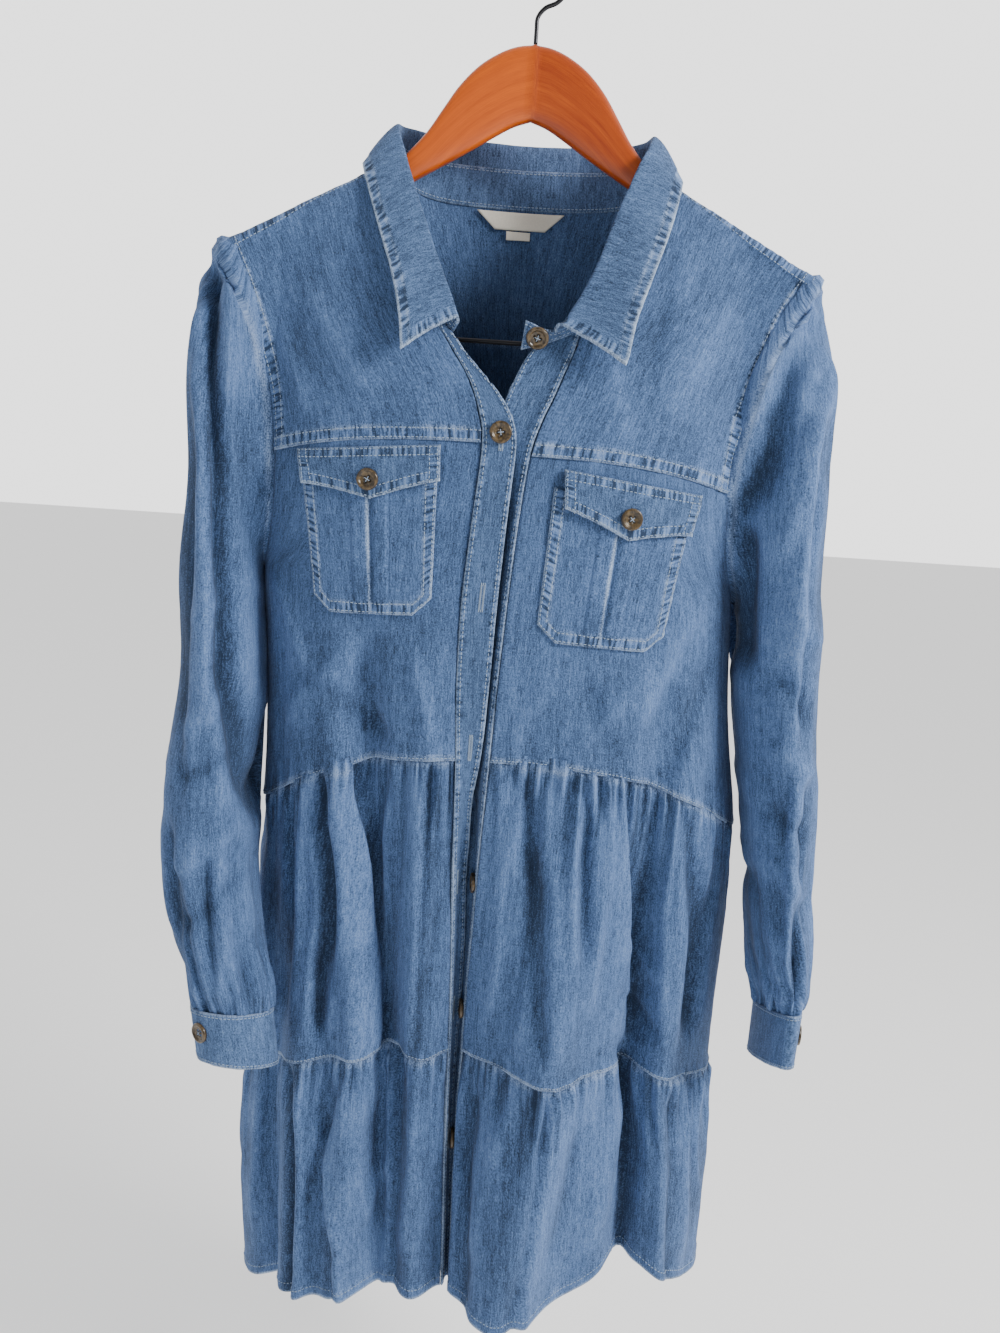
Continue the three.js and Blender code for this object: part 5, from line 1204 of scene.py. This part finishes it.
def make_sleeve(side):
    raw = sleeve_surface(side)
    turned = (lambda u: u) if side == "left" else (lambda u: -u)
    seed = 100 if side == "left" else 120

    def surface(u, v):
        return raw(turned(u), mix(-INSIDE, CUFF_TOP + 0.15, v))

    def relief(c):
        at = mix(-INSIDE, CUFF_TOP + 0.15, c.v)
        seam_row = np.argmin(np.abs(at[:, 0]))
        below = np.maximum(c.top - c.top[seam_row], 0)
        above = np.maximum(c.low - 3, 0)
        around = c.u * 380
        cap = np.clip(np.cos(2 * np.pi * c.u) * 2.2 - 0.5, 0, 1)
        wrinkles = crumple(c, seed, 1.1, 1.5) * ease(below / 30)
        head = gathers(around, below, seed + 3, 7.5, 1.0) * cap + pucker(below, around, seed + 4, 0.5, 9, 5) * (1 - cap)
        cuff = gathers(around, above, seed + 5, 8.5, 1.15)
        return (wrinkles + head * ease(at * 4) + cuff + tucked_cuff(above)
                + creases(c, SLEEVE_CREASES[side]) + creases(c, SLEEVE_BACK_CREASES[side], front=False)
                + fold_lines(c, SLEEVE_FOLDS[side]) + 6 * cap * bell(below - 10, 15)
                + 2.2 * np.clip(-np.cos(2 * np.pi * c.u) * 3 - 1.8, 0, 1) * lean_on(c.points[..., 2]))

    def tucked_cuff(above):
        return -1.4 * (1 - ease(above / 4))

    def wear_and_painted_shade(c):
        return 0.3 * bell(c.top - c.top[np.argmin(np.abs(c.v[:, 0] - INSIDE / CUFF_TOP))] - 3, 4)

    ats = np.concatenate([steps(4, -INSIDE, 0), steps(20, 0, 2)[1:], steps(84, 2, 11)[1:],
                          steps(30, 11, CUFF_TOP + 0.15)[1:]])
    vs = (ats + INSIDE) / (CUFF_TOP + 0.15 + INSIDE)
    def chart(c):
        """Straight grain: the turn round the sleeve's middle line and the height, so no thread bends at the cap."""
        x, y, z = np.moveaxis(c.points, -1, 0)
        at = np.interp(-z, -table("out_z", ats), ats)
        middle = (table("out_x", at) + table("in_x", at)) / 2
        turn = np.unwrap(np.arctan2(table("y", at) - y, (x - middle) * SIGN[side]), axis=1)
        return 60 * turn, -1.04 * z

    table = SLEEVE[side]
    cloth = Cloth(surface, steps(122), vs, relief, wear_and_painted_shade, closed=True, chart=chart, drawn=lambda c: 0.9 * bell(
        c.low, 26) + 0.8 * np.clip(np.cos(2 * np.pi * c.u) * 2 - 0.4, 0, 1) * bell(c.top, 26))
    cloth.shell("sleeve_" + side, DENIM, ["sleeve_" + side], 1.0, flat=(0.40, 0.60), area=0.17)
    return cloth


def make_cuff(side):
    raw = sleeve_surface(side)
    turned = (lambda u: u) if side == "left" else (lambda u: -u)
    lap = 0.08 if side == "left" else 0.93  # where the button's end of the cuff stops
    seed = 140 if side == "left" else 144

    def relief(c):
        lapped = ease((c.u - lap) / 0.012) * (1 - ease((c.u - lap - 0.22) / 0.05)) if side == "left" else (
            ease((lap - c.u) / 0.012) * (1 - ease((lap - 0.22 - c.u) / 0.05)))
        seams = pucker(c.top, c.s, seed, 0.3, 4) + pucker(c.low, c.s, seed + 1, 0.35, 4)
        return 1.1 + 1.3 * lapped + seams + crumple(c, seed + 2, 0.4)

    def wear_and_painted_shade(c):
        return 0.9 * edge_wear(c.low, 1.2) + 0.6 * edge_wear(c.top, 1.2)

    cloth = Cloth(lambda u, v: raw(turned(u), mix(CUFF_TOP - 0.02, CUFF_LOW, v)), steps(126), steps(20), relief, wear_and_painted_shade,
                  closed=True)
    cloth.shell("cuff_" + side, DENIM_DOUBLE, ["cuff_" + side], 1.9, flat=(0.22, 0.042))
    for distance, top in ((2.4, True), (2.4, False)):
        row_across(SLEEVE_THREAD, cloth, distance, top=top)
    return cloth


# Collar

def neck_at(at):
    """The neck seam, which lies on the fronts where it comes forward of the shoulders."""
    p = collar_point("n", at)
    share = np.clip((np.abs(at - STATIONS / 2) - 3.2) / 0.8, 0, 1)
    p[..., 1] = mix(p[..., 1], chest_at(p[..., 0], p[..., 2])[..., 1] + 0.8, share)
    return p


def through(controls, t):
    """A centripetal Catmull-Rom curve through control points, at one share t of the whole."""
    last = len(controls) - 1
    k = min(int(t * last), last - 1)
    w = t * last - k
    p1, p2 = controls[k], controls[k + 1]
    p0 = controls[k - 1] if k > 0 else 2 * controls[0] - controls[1]
    p3 = controls[k + 2] if k + 2 <= last else 2 * controls[last] - controls[last - 1]
    gaps = [np.maximum(np.linalg.norm(b - a, axis=-1, keepdims=True), 1e-6) ** 0.5
            for a, b in ((p0, p1), (p1, p2), (p2, p3))]
    a, b, c = gaps
    start = ((p1 - p0) / a - (p2 - p0) / (a + b) + (p2 - p1) / b) * b
    end = ((p2 - p1) / b - (p3 - p1) / (b + c) + (p3 - p2) / c) * b
    return (p1 + start * w + (3 * (p2 - p1) - 2 * start - end) * w ** 2 + (2 * (p1 - p2) + start + end) * w ** 3)


def fall_surface(u, v):
    """Up inside from the stand, over the roll line and down to the collar's outer edge."""
    at = u[0] * STATIONS
    n, r, e = neck_at(at), collar_point("r", at), collar_point("e", at)
    up = unit(r - n)
    away = e - r
    away = unit(away * [1, 1, 0])
    low = e - r
    controls = [mix(n, r, STAND_SHARE - 0.03) + 0.5 * away, r - 2.5 * up, r + 2.2 * away + up, r + 5 * away + 0.1 * low,
                r + 4.5 * away + 0.5 * low, e]
    return np.stack([through(controls, float(t)) for t in v[:, 0]])


COLLAR_CREASES = (
    (60, -270, 100, -205, 6, 1.6, 0.3), (88, -235, 66, -262, 5, -1.4, 0.2), (-80, -262, -60, -225, 5, 1.2, 0.2),
    (-96, -215, -76, -190, 5, -1.0, 0.2),
)


def make_collar():
    def relief(c):
        end = np.minimum(c.left, c.right)
        edges = pucker(c.low, c.s, 150, 0.6, 7, 4.5) + pucker(end, c.t, 151, 0.4, 6)
        ridge = felled(c.low, 6.5, 0.4) + felled(end, 6.5, 0.4)
        return edges + ridge + crumple(c, 152, 0.45) + creases(c, COLLAR_CREASES)

    def wear_and_painted_shade(c):
        end = np.minimum(c.left, c.right)
        return 1.1 * edge_wear(c.low, 1.8) + 1.0 * edge_wear(end, 1.6) + 0.35 * bell(c.low - 7, 1.5)

    vs = np.concatenate([steps(5, 0, 0.18), steps(18, 0.18, 0.5)[1:], steps(34, 0.5, 1)[1:]])
    fall = Cloth(fall_surface, steps(270), vs, relief, wear_and_painted_shade, fell=lambda c: barred(c.low, 7) - barred(
        np.minimum(c.left, c.right), 7))
    fall.shell("collar_fall", DENIM_DOUBLE, ["collar_fall"], 2.0, 1.0, flat=(0.48, 0.075))
    for distance in (1.8, 7.2):
        row_across(COLLAR_THREAD, fall, distance, top=False, out=1.0, pitch=2.8)
        for left in (True, False):
            row_down(COLLAR_THREAD, fall, distance, left=left, start=0.45, out=1.0, pitch=2.8)

    def stand_surface(u, v):
        at = u * (STATIONS + 1)
        n = neck_at(at)
        return mix(n, mix(n, collar_point("r", at), STAND_SHARE), mix(-0.1, 1.02, v)[..., None])

    def stand_relief(c):
        return pucker(c.top, c.s, 155, 0.3, 4) + pucker(c.low, c.s, 156, 0.3, 4) + crumple(c, 157, 0.2)

    stand = Cloth(stand_surface, steps(220), steps(14), stand_relief,
                  lambda c: 0.6 * edge_wear(c.top, 1.2) + 0.5 * edge_wear(c.low, 1.2) + 0.6 * edge_wear(c.right, 1.2))
    stand.shell("collar_stand", DENIM_DOUBLE, ["collar_stand"], 2.0, 1.0, flat=(0.46, 0.03))
    for top in (True, False):
        row_across(COLLAR_THREAD, stand, 2.4, top=top, out=1.0)
        row_across(COLLAR_THREAD, stand, 2.4, top=top, out=-1.25)
    return fall, stand


# Pockets and flaps: corners in x and z
POCKETS = {
    "left": ((-143, -356), (-47, -350), (-131, -462), (-47, -457)),
    "right": ((33, -363), (130, -374), (28, -470), (118, -475)),
}
FLAPS = {
    "left": ((-147, -349), (-46, -340), (-140, -372), (-45, -364)),
    "right": ((39, -351), (137, -363), (41, -377), (131, -391)),
}
FLAP_POINT = {"left": 11, "right": 12}
POCKET_LIFT = 0.6
POCKET_PLEAT = 1.3
FLAP_LIFT = 3.8
CHAMFER = {"share": 0.15, "rise": 12}


def corner(box, u, v):
    """A point between four corners."""
    top_a, top_b, low_a, low_b = box
    return [mix(mix(top_a[k], top_b[k], u), mix(low_a[k], low_b[k], u), v) for k in range(2)]


def make_pocket(side):
    seed = 170 if side == "left" else 175

    def surface(u, v):
        lift = CHAMFER["rise"] * np.clip(1 - np.minimum(u, 1 - u) / CHAMFER["share"], 0, 1)
        x, z = corner(POCKETS[side], u, v)
        p = front_at(x, z + lift * v)
        middle = np.abs(u - 0.5)
        pleat = POCKET_PLEAT * (1 - ease((middle - 0.12) / 0.025)) * (1 - bell(middle, 0.014))
        p[..., 1] -= pleat * ease((1 - v) / 0.12)
        return p

    def edge(c):
        return np.minimum(np.minimum(c.left, c.right), c.low)

    def relief(c):
        seam = pucker(edge(c), c.s + c.t, seed, 0.45, 6)
        pleat = -1.6 * bell(c.u - 0.515, 0.014) * ease((1 - c.v) / 0.1)
        return 0.9 + seam + 0.4 * bell(edge(c) - 4, 4) + crumple(c, seed + 1, 0.5) + creases(
            c, FRONT_CREASES) * 0.5 + pleat

    def wear_and_painted_shade(c):
        return 0.8 * edge_wear(edge(c), 1.4) + 0.4 * bell(edge(c) - 8, 1.4) + 0.9 * bell(c.u - 0.485, 0.01)

    us = np.sort(np.concatenate([steps(52), [0.119, 0.121, 0.146, 0.379, 0.381, 0.354, 0.621, 0.646]]))
    cloth = Cloth(surface, np.unique(us), steps(58), relief, wear_and_painted_shade, fell=lambda c: barred(c.low, 7.5) - barred(
        np.minimum(c.left, c.right), 7.5))
    cloth.shell("pocket_" + side, DENIM, ["pocket_" + side], 1.2, 0.9, flat=(0.104, 0.115))
    for distance in (1.8, 7.6):
        row_across(POCKET_THREAD, cloth, distance, top=False, start=distance / 100, end=1 - distance / 100, out=0.9)
        for left in (True, False):
            row_down(POCKET_THREAD, cloth, distance, left=left, end=1 - distance / 106, out=0.9)
    return cloth


def make_flap(side):
    seed = 180 if side == "left" else 185

    def surface(u, v):
        x, z = corner(FLAPS[side], u, v)
        middle = np.clip(1 - np.abs(2 * u - 1), 0, 1)
        p = front_at(x, z - FLAP_POINT[side] * middle ** 1.3 * v)
        p[..., 1] -= mix(POCKET_LIFT, FLAP_LIFT, ease(v / 0.22))
        return p

    def relief(c):
        edge = np.minimum(np.minimum(c.left, c.right), c.low)
        lifted = 4.0 * bell(c.left, 14) * bell(c.low, 12) if side == "left" else 0.0
        return pucker(edge, c.s + c.t, seed, 0.45, 6) + crumple(c, seed + 1, 0.4) + lifted

    def wear_and_painted_shade(c):
        sides = edge_wear(np.minimum(c.left, c.right), 1.3)
        return edge_wear(c.low, 1.5) + 0.9 * sides + 0.5 * edge_wear(c.top, 1.5)

    cloth = Cloth(surface, steps(74), steps(26), relief, wear_and_painted_shade, fell=lambda c: barred(c.low, 7) + barred(
        c.top, 7) - barred(np.minimum(c.left, c.right), 7))
    cloth.shell("flap_" + side, DENIM_DOUBLE, ["pocket_flap_" + side], 1.7, 1.7, flat=(0.103, 0.038))
    for distance in (1.8, 7.2):
        row_across(POCKET_THREAD, cloth, distance, top=False, start=distance / 103, end=1 - distance / 103, out=1.7)
        row_across(POCKET_THREAD, cloth, distance, top=True, out=1.7)
        for left in (True, False):
            row_down(POCKET_THREAD, cloth, distance, left=left, out=1.7)
    return cloth


# Buttons

def frame_of(out):
    """Two unit vectors square to out, the first as level as can be."""
    side = unit(np.cross(out, [0.0, 0.0, 1.0]))
    return side, np.cross(side, out)


def make_button(name, node, place, out, turn=0.4):
    """A turned disc with a raised rim and a dish, in which four holes are pressed and painted with shade, and two
    threads across.
    """
    radius, high = BUTTON["radius"], BUTTON["high"]
    profile = Table("r h", (0, high - 1.25), (0.55, high - 1.2), (0.68, high - 0.7), (0.76, high - 0.05),
                    (0.88, high), (0.96, high - 0.35), (1, high - 1.0))
    rings, spokes = 24, 40
    r = steps(rings, 0.02, 1)
    angle = np.linspace(0, 2 * np.pi, spokes, endpoint=False)
    rr, aa = np.meshgrid(r, angle, indexing="ij")
    x, y = rr * radius * np.cos(aa), rr * radius * np.sin(aa)
    h = profile("h", rr)
    # Painted shade: how dark each pressed hole is painted, since the holes don't go through.
    dark = np.zeros_like(h)
    for k in range(4):
        a = turn + k * math.pi / 2
        hole = bell(np.hypot(x - 2.1 * math.cos(a), y - 2.1 * math.sin(a)), 0.85)
        h = h - 1.5 * hole
        dark = dark + 1.3 * hole
    low = [(1.0, 0.9), (0.9, 0.0)]
    for share, level in low:
        x = np.concatenate([x, share * radius * np.cos(angle)[None]])
        y = np.concatenate([y, share * radius * np.sin(angle)[None]])
        h = np.concatenate([h, np.full((1, spokes), level)])
        dark = np.concatenate([dark, np.zeros((1, spokes))])
    side, up = frame_of(out)
    grid = place + x[..., None] * side + y[..., None] * up + h[..., None] * out
    count = len(grid)
    ids = np.arange(count * spokes).reshape(count, spokes)
    ids = np.concatenate([ids, ids[:, :1]], 1)
    centre_top, centre_low = count * spokes, count * spokes + 1
    points = np.concatenate([grid.reshape(-1, 3), [place + (high - 1.25) * out], [place]])
    quads = cells(ids)
    ring = np.arange(spokes)
    nxt = (ring + 1) % spokes
    last = (count - 1) * spokes
    tops = np.stack([np.full(spokes, centre_top), ring, nxt], 1)
    lows = np.stack([np.full(spokes, centre_low), last + nxt, last + ring], 1)
    # The holes' painted shade goes to the horn's shader in this mark.
    marks = {"wear_and_painted_shade": np.concatenate([dark.ravel(), [0, 0]])}
    build(name, points, [quads, np.concatenate([tops, lows])], HORN, marks=marks, nodes=[node])
    for k in (0, 1):
        a = turn + k * math.pi / 2
        across = math.cos(a) * side + math.sin(a) * up
        lift = place + (high - 0.75) * out
        for share in (-1, 0, 1):
            BUTTON_THREAD.add((lift + across * share * 1.25)[None], across[None], out[None], 0.9)


BUTTON_THREAD = Thread()
BUTTONHOLES = (-330, -442, -553, -663, -774, -885)


def button_places():
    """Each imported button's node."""
    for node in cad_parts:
        if node.startswith("button_"):
            yield node


def solid_button(node):
    """The back's middle and the axis of a packed button, from its own points: the back ring is the flat end."""
    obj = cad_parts[node]
    me = obj.data
    points = np.empty(len(me.vertices) * 3)
    me.vertices.foreach_get("co", points)
    points = np.unique(np.round(points.reshape(-1, 3) / MM, 3), axis=0)
    middle = points.mean(0)
    _, axes = np.linalg.eigh(np.cov((points - middle).T))
    out = axes[:, 0]
    if out[1] > 0:
        out = -out
    heights = (points - middle) @ out
    back = points[heights < heights.min() + 0.2].mean(0)
    return back, out


def make_buttons():
    for k, node in enumerate(button_places()):
        back, out = solid_button(node)
        make_button(node.replace("button", "shown_button"), node, back, out, 0.3 + 0.37 * k)


def buttonholes(cloth):
    """Vertical buttonholes down the over band: two rows of close stitches with a bar at each end."""
    for z in BUTTONHOLES:
        for k in np.linspace(-1, 1, 23):
            v = (row_at(OVER, z + 8.5 * k)) / BAND_ROWS
            for s in (-1, 1):
                point, normal = cloth.at(0.55 + s * 0.045, v, 1.15)
                other, _ = cloth.at(0.55 + s * 0.045 + 0.02, v, 1.15)
                BAND_THREAD.add(point[None], unit(other - point)[None], normal[None], 0.75)
        for s in (-1, 1):
            v = row_at(OVER, z + 9.4 * s) / BAND_ROWS
            for m in (-1, 0, 1):
                point, normal = cloth.at(0.55 + m * 0.05, v, 1.2)
                low, _ = cloth.at(0.55 + m * 0.05, v + 0.001, 1.2)
                BAND_THREAD.add(point[None], unit(low - point)[None], normal[None], 1.0)


# Labels

def make_label(name, node, x, top, low, top_half, low_half, thick, cut=True):
    """A slip of ribbon curved to the back of the neck."""
    def surface(u, v):
        at = x + mix(-1, 1, u) * mix(top_half, low_half, v)
        return vec(at, 37.4 - 0.0019 * at ** 2 - 0.4 * np.sin(np.pi * v) * np.cos(3 * u), mix(top, low, v))
    cloth = Cloth(surface, steps(28), steps(8), lambda c: 0.12 * noise(c.s / 7, c.t / 9, 4))
    flat = (2 * top_half * MM, (top - low) * MM) if cut else None
    area = 0.85 * flat[0] * flat[1] if cut else None
    cloth.shell(name, CREAM, [node], thick, thick, flat=flat, area=area)


# Hanger

ARMS = Table(
    "x top low",
    (0, -64.5, -113.5), (12, -66.5, -118), (24, -71.5, -125), (38, -81, -134), (51, -95, -142), (61, -110, -148),
    (72, -127, -154.5), (86, -143, -163.5), (98, -155.5, -171.5), (112, -163.5, -180.5), (150, -184.5, -203),
    (186, -205, -225), (197, -213.5, -225.5),
)
WOOD_THICK = 13
ROUNDING = 190  # where the ends of the arms start to round off


def make_arms():
    """A rounded section carried from one end over the middle to the other, with a low ridge at the mitre."""
    half = np.concatenate([steps(66, 0, ROUNDING), ROUNDING + 7 * np.sin(steps(9)[1:] * np.pi / 2)])
    xs = np.concatenate([-half[::-1][:-1], half])
    angle = np.linspace(0, 2 * np.pi, 36, endpoint=False)
    x, a = np.meshgrid(xs, angle, indexing="ij")
    top, low = ARMS("top", np.abs(x)), ARMS("low", np.abs(x))
    past = (np.abs(x) - ROUNDING) / 7.05
    shrink = np.where(past > 0, np.sqrt(np.maximum(0.02, 1 - past ** 2)), 1)
    power = 2 / 3.4
    across = 0.5 * np.sign(np.cos(a)) * np.abs(np.cos(a)) ** power
    up = 0.5 * np.sign(np.sin(a)) * np.abs(np.sin(a)) ** power
    ridge = 0.9 * bell(x, 1.1) * (np.cos(a) < 0)
    y = arm_y(x) + across * WOOD_THICK * shrink * 0.98 - ridge
    points = vec(x, y, (top + low) / 2 + up * (top - low) * shrink * 0.99)
    count, spokes = x.shape
    ids = np.arange(count * spokes).reshape(count, spokes)
    ids = np.concatenate([ids, ids[:, :1]], 1)
    run = np.concatenate([x, x[:, :1]], 1)
    height = np.concatenate([up * (top - low), (up * (top - low))[:, :1]], 1)
    uv = cells(np.stack([np.abs(run) * 1.2 + height * np.sign(run) * 0.5 + 300 * (run > 0), height], -1))
    # Painted light and shade: the left arm's wood is painted lighter and the right arm's darker, as the light from the
    # right falls on the two halves, which face different ways.
    tone = np.where(x < 0, 0.16, -0.16) * ease(np.abs(x) / 0.8)
    caps = [(count - 1) * spokes + np.arange(spokes)[None], np.arange(spokes)[::-1][None]]
    cap_uv = np.zeros((2 * spokes, 2))
    return build("arms", points.reshape(-1, 3), [cells(ids)[:, ::-1]] + caps, WOOD,
                 np.concatenate([uv[:, ::-1].reshape(-1, 2), cap_uv]), {"wear_and_painted_shade": tone}, 0,
                 ["hanger_arms"])


def rod(name, node, path, thick, sides=16):
    """A round rod along a path, whose rings stand square to it and don't twist."""
    tangent = unit(np.gradient(path, axis=0))
    side = unit(np.cross(tangent, [0.0, 1.0, 0.0]))
    other = np.cross(tangent, side)
    angle = np.linspace(0, 2 * np.pi, sides, endpoint=False)
    rings = path[:, None] + thick / 2 * (np.cos(angle)[None, :, None] * side[:, None]
                                         + np.sin(angle)[None, :, None] * other[:, None])
    count = len(path)
    ids = np.arange(count * sides).reshape(count, sides)
    ids = np.concatenate([ids, ids[:, :1]], 1)
    caps = [np.arange(sides)[None], ((count - 1) * sides + np.arange(sides)[::-1])[None]]
    return build(name, rings.reshape(-1, 3), [cells(ids)[:, ::-1], caps[0][:, ::-1], caps[1][:, ::-1]], STEEL,
                 nodes=[node])


def spline(points, count):
    """An even curve through a list of points."""
    t = steps(count)
    return np.stack([through([np.array(p, float) for p in points], float(k)) for k in t])


def make_hook_and_bar():
    radius, centre = HOOK["inner"] + HOOK["wire"] / 2, -HOOK["inner"]
    ring = [(radius * math.cos(a), 0, centre + radius * math.sin(a)) for a in np.radians(np.linspace(-52, 205, 13))]
    stem = [(0, 0, HOOK["stem"] + 0.3), (0, 0, HOOK["stem"] + 9), (0.4, 0, HOOK["stem"] + 17), (5, 0, HOOK["stem"] + 23)]
    rod("hook", "hanger_hook", spline(stem + ring, 160), HOOK["wire"])
    reach, z, bend = 163.0, -265.5, 9
    y = float(arm_y(np.array(reach)))
    top = float(ARMS("low", np.array(reach))) - 1
    turns = np.radians(np.linspace(0, 90, 12))
    corner_arc = [(reach - bend + bend * math.sin(a), y, z + bend - bend * math.cos(a)) for a in turns]
    right = [(x, y, z) for x in np.linspace(0, reach - bend, 20)[:-1]] + corner_arc + [
        (reach, y, k) for k in np.linspace(z + bend, top, 8)[1:]]
    left = [(-x, yy, zz) for x, yy, zz in right[1:]][::-1]
    rod("bar", "hanger_bar", np.array(left + right), 3.4)


# Making everything
for panel_side in ("left", "right"):
    make_yoke(panel_side)
    make_bodice(panel_side)
make_back()
for tier, tier_top, tier_low in (("tier2", SEAM_WAIST, SEAM_TIER), ("tier3", SEAM_TIER, HEM)):
    for tier_part in ("left", "right", "back"):
        make_tier(tier, tier_top, tier_low, tier_part)
over_band = make_band("left")
make_band("right")
buttonholes(over_band)
make_collar()
for arm_side in ("left", "right"):
    make_sleeve(arm_side)
    make_cuff(arm_side)
    make_pocket(arm_side)
    make_flap(arm_side)
make_buttons()
make_label("label", "neck_label", -3, -165.5, -178, 33, 19, 0.8)
make_label("tab", "size_tab", -4, -179, -185, 9, 9, 0.6, cut=False)
make_arms()
make_hook_and_bar()
for thread, thread_name in ((BODY_THREAD, "body_stitches"), (COLLAR_THREAD, "collar_stitches"),
                            (POCKET_THREAD, "pocket_stitches"), (SLEEVE_THREAD, "cuff_stitches"),
                            (BAND_THREAD, "band_stitches"), (BUTTON_THREAD, "button_threads")):
    thread.finish(thread_name)
for sheet_obj, sheet_flat, sheet_held, sheet_area in Cloth.sheets:
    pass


# Stage, light and camera

def make_stage():
    paint = Paint("pale_floor")
    paint.fill(paint.shader, {"Base Color": (0.9, 0.9, 0.9, 1), "Roughness": 0.9})
    me = bpy.data.meshes.new("floor")
    size, level = 12.0, -1.35
    me.from_pydata([(-size, -size, level), (size, -size, level), (size, size, level), (-size, size, level)], [],
                   [(0, 1, 2, 3)])
    me.materials.append(paint.material)
    floor = bpy.data.objects.new("floor", me)
    bpy.context.scene.collection.objects.link(floor)
    lamps = [
        lamp("key", (1.45, -0.85, 0.42), (0, 0, -0.5), 0.6, 50, (1, 0.985, 0.96)),
        lamp("fill", (-1.6, -2.2, 0.2), (0, 0, -0.6), 1.8, 9, (0.94, 0.97, 1)),
    ]
    world = bpy.data.worlds.new("studio")
    world.use_nodes = True
    tree = world.node_tree
    tree.nodes["Background"].inputs["Color"].default_value = (1, 1, 1, 1)
    places = tree.nodes.new("ShaderNodeTexCoord")
    parts = tree.nodes.new("ShaderNodeSeparateXYZ")
    bright = tree.nodes.new("ShaderNodeMapRange")
    for key, value in (("From Min", -0.6), ("From Max", 0.6), ("To Min", 0.22), ("To Max", 2.3)):
        bright.inputs[key].default_value = value
    tree.links.new(places.outputs["Generated"], parts.inputs[0])
    tree.links.new(parts.outputs["Y"], bright.inputs["Value"])
    tree.links.new(bright.outputs[0], tree.nodes["Background"].inputs["Strength"])
    bpy.context.scene.world = world


def lamp(name, place, target, size, power, colour):
    """A square area lamp that faces a point."""
    light = bpy.data.lights.new(name, "AREA")
    light.size, light.energy, light.color = size, power, colour
    obj = bpy.data.objects.new(name, light)
    back = unit(np.array(place, float) - target)
    right = unit(np.cross([0, 0, 1.0], back))
    obj.matrix_world = matrix_of(right, np.cross(back, right), back, place)
    bpy.context.scene.collection.objects.link(obj)
    return obj


def matrix_of(right, up, back, place):
    rows = np.stack([right, up, back, np.asarray(place, float)], 1)
    return Matrix([*rows.tolist(), [0, 0, 0, 1]])


def make_camera():
    """Just below the height of the chest, tipped down and rolled a little, as the picture was taken."""
    pitch, roll = math.radians(12), math.radians(3.8)
    ahead = np.array([0, math.cos(pitch), -math.sin(pitch)])
    level = np.array([1.0, 0, 0])
    upright = np.cross(level, ahead)
    right = level * math.cos(roll) + upright * math.sin(roll)
    up = upright * math.cos(roll) - level * math.sin(roll)
    data = bpy.data.cameras.new("camera")
    data.sensor_fit, data.sensor_height, data.lens = "VERTICAL", 36, 27
    obj = bpy.data.objects.new("camera", data)
    obj.matrix_world = matrix_of(right, up, -ahead, (0.004, -0.77, -0.343))
    bpy.context.scene.collection.objects.link(obj)
    bpy.context.scene.camera = obj


make_stage()
make_camera()
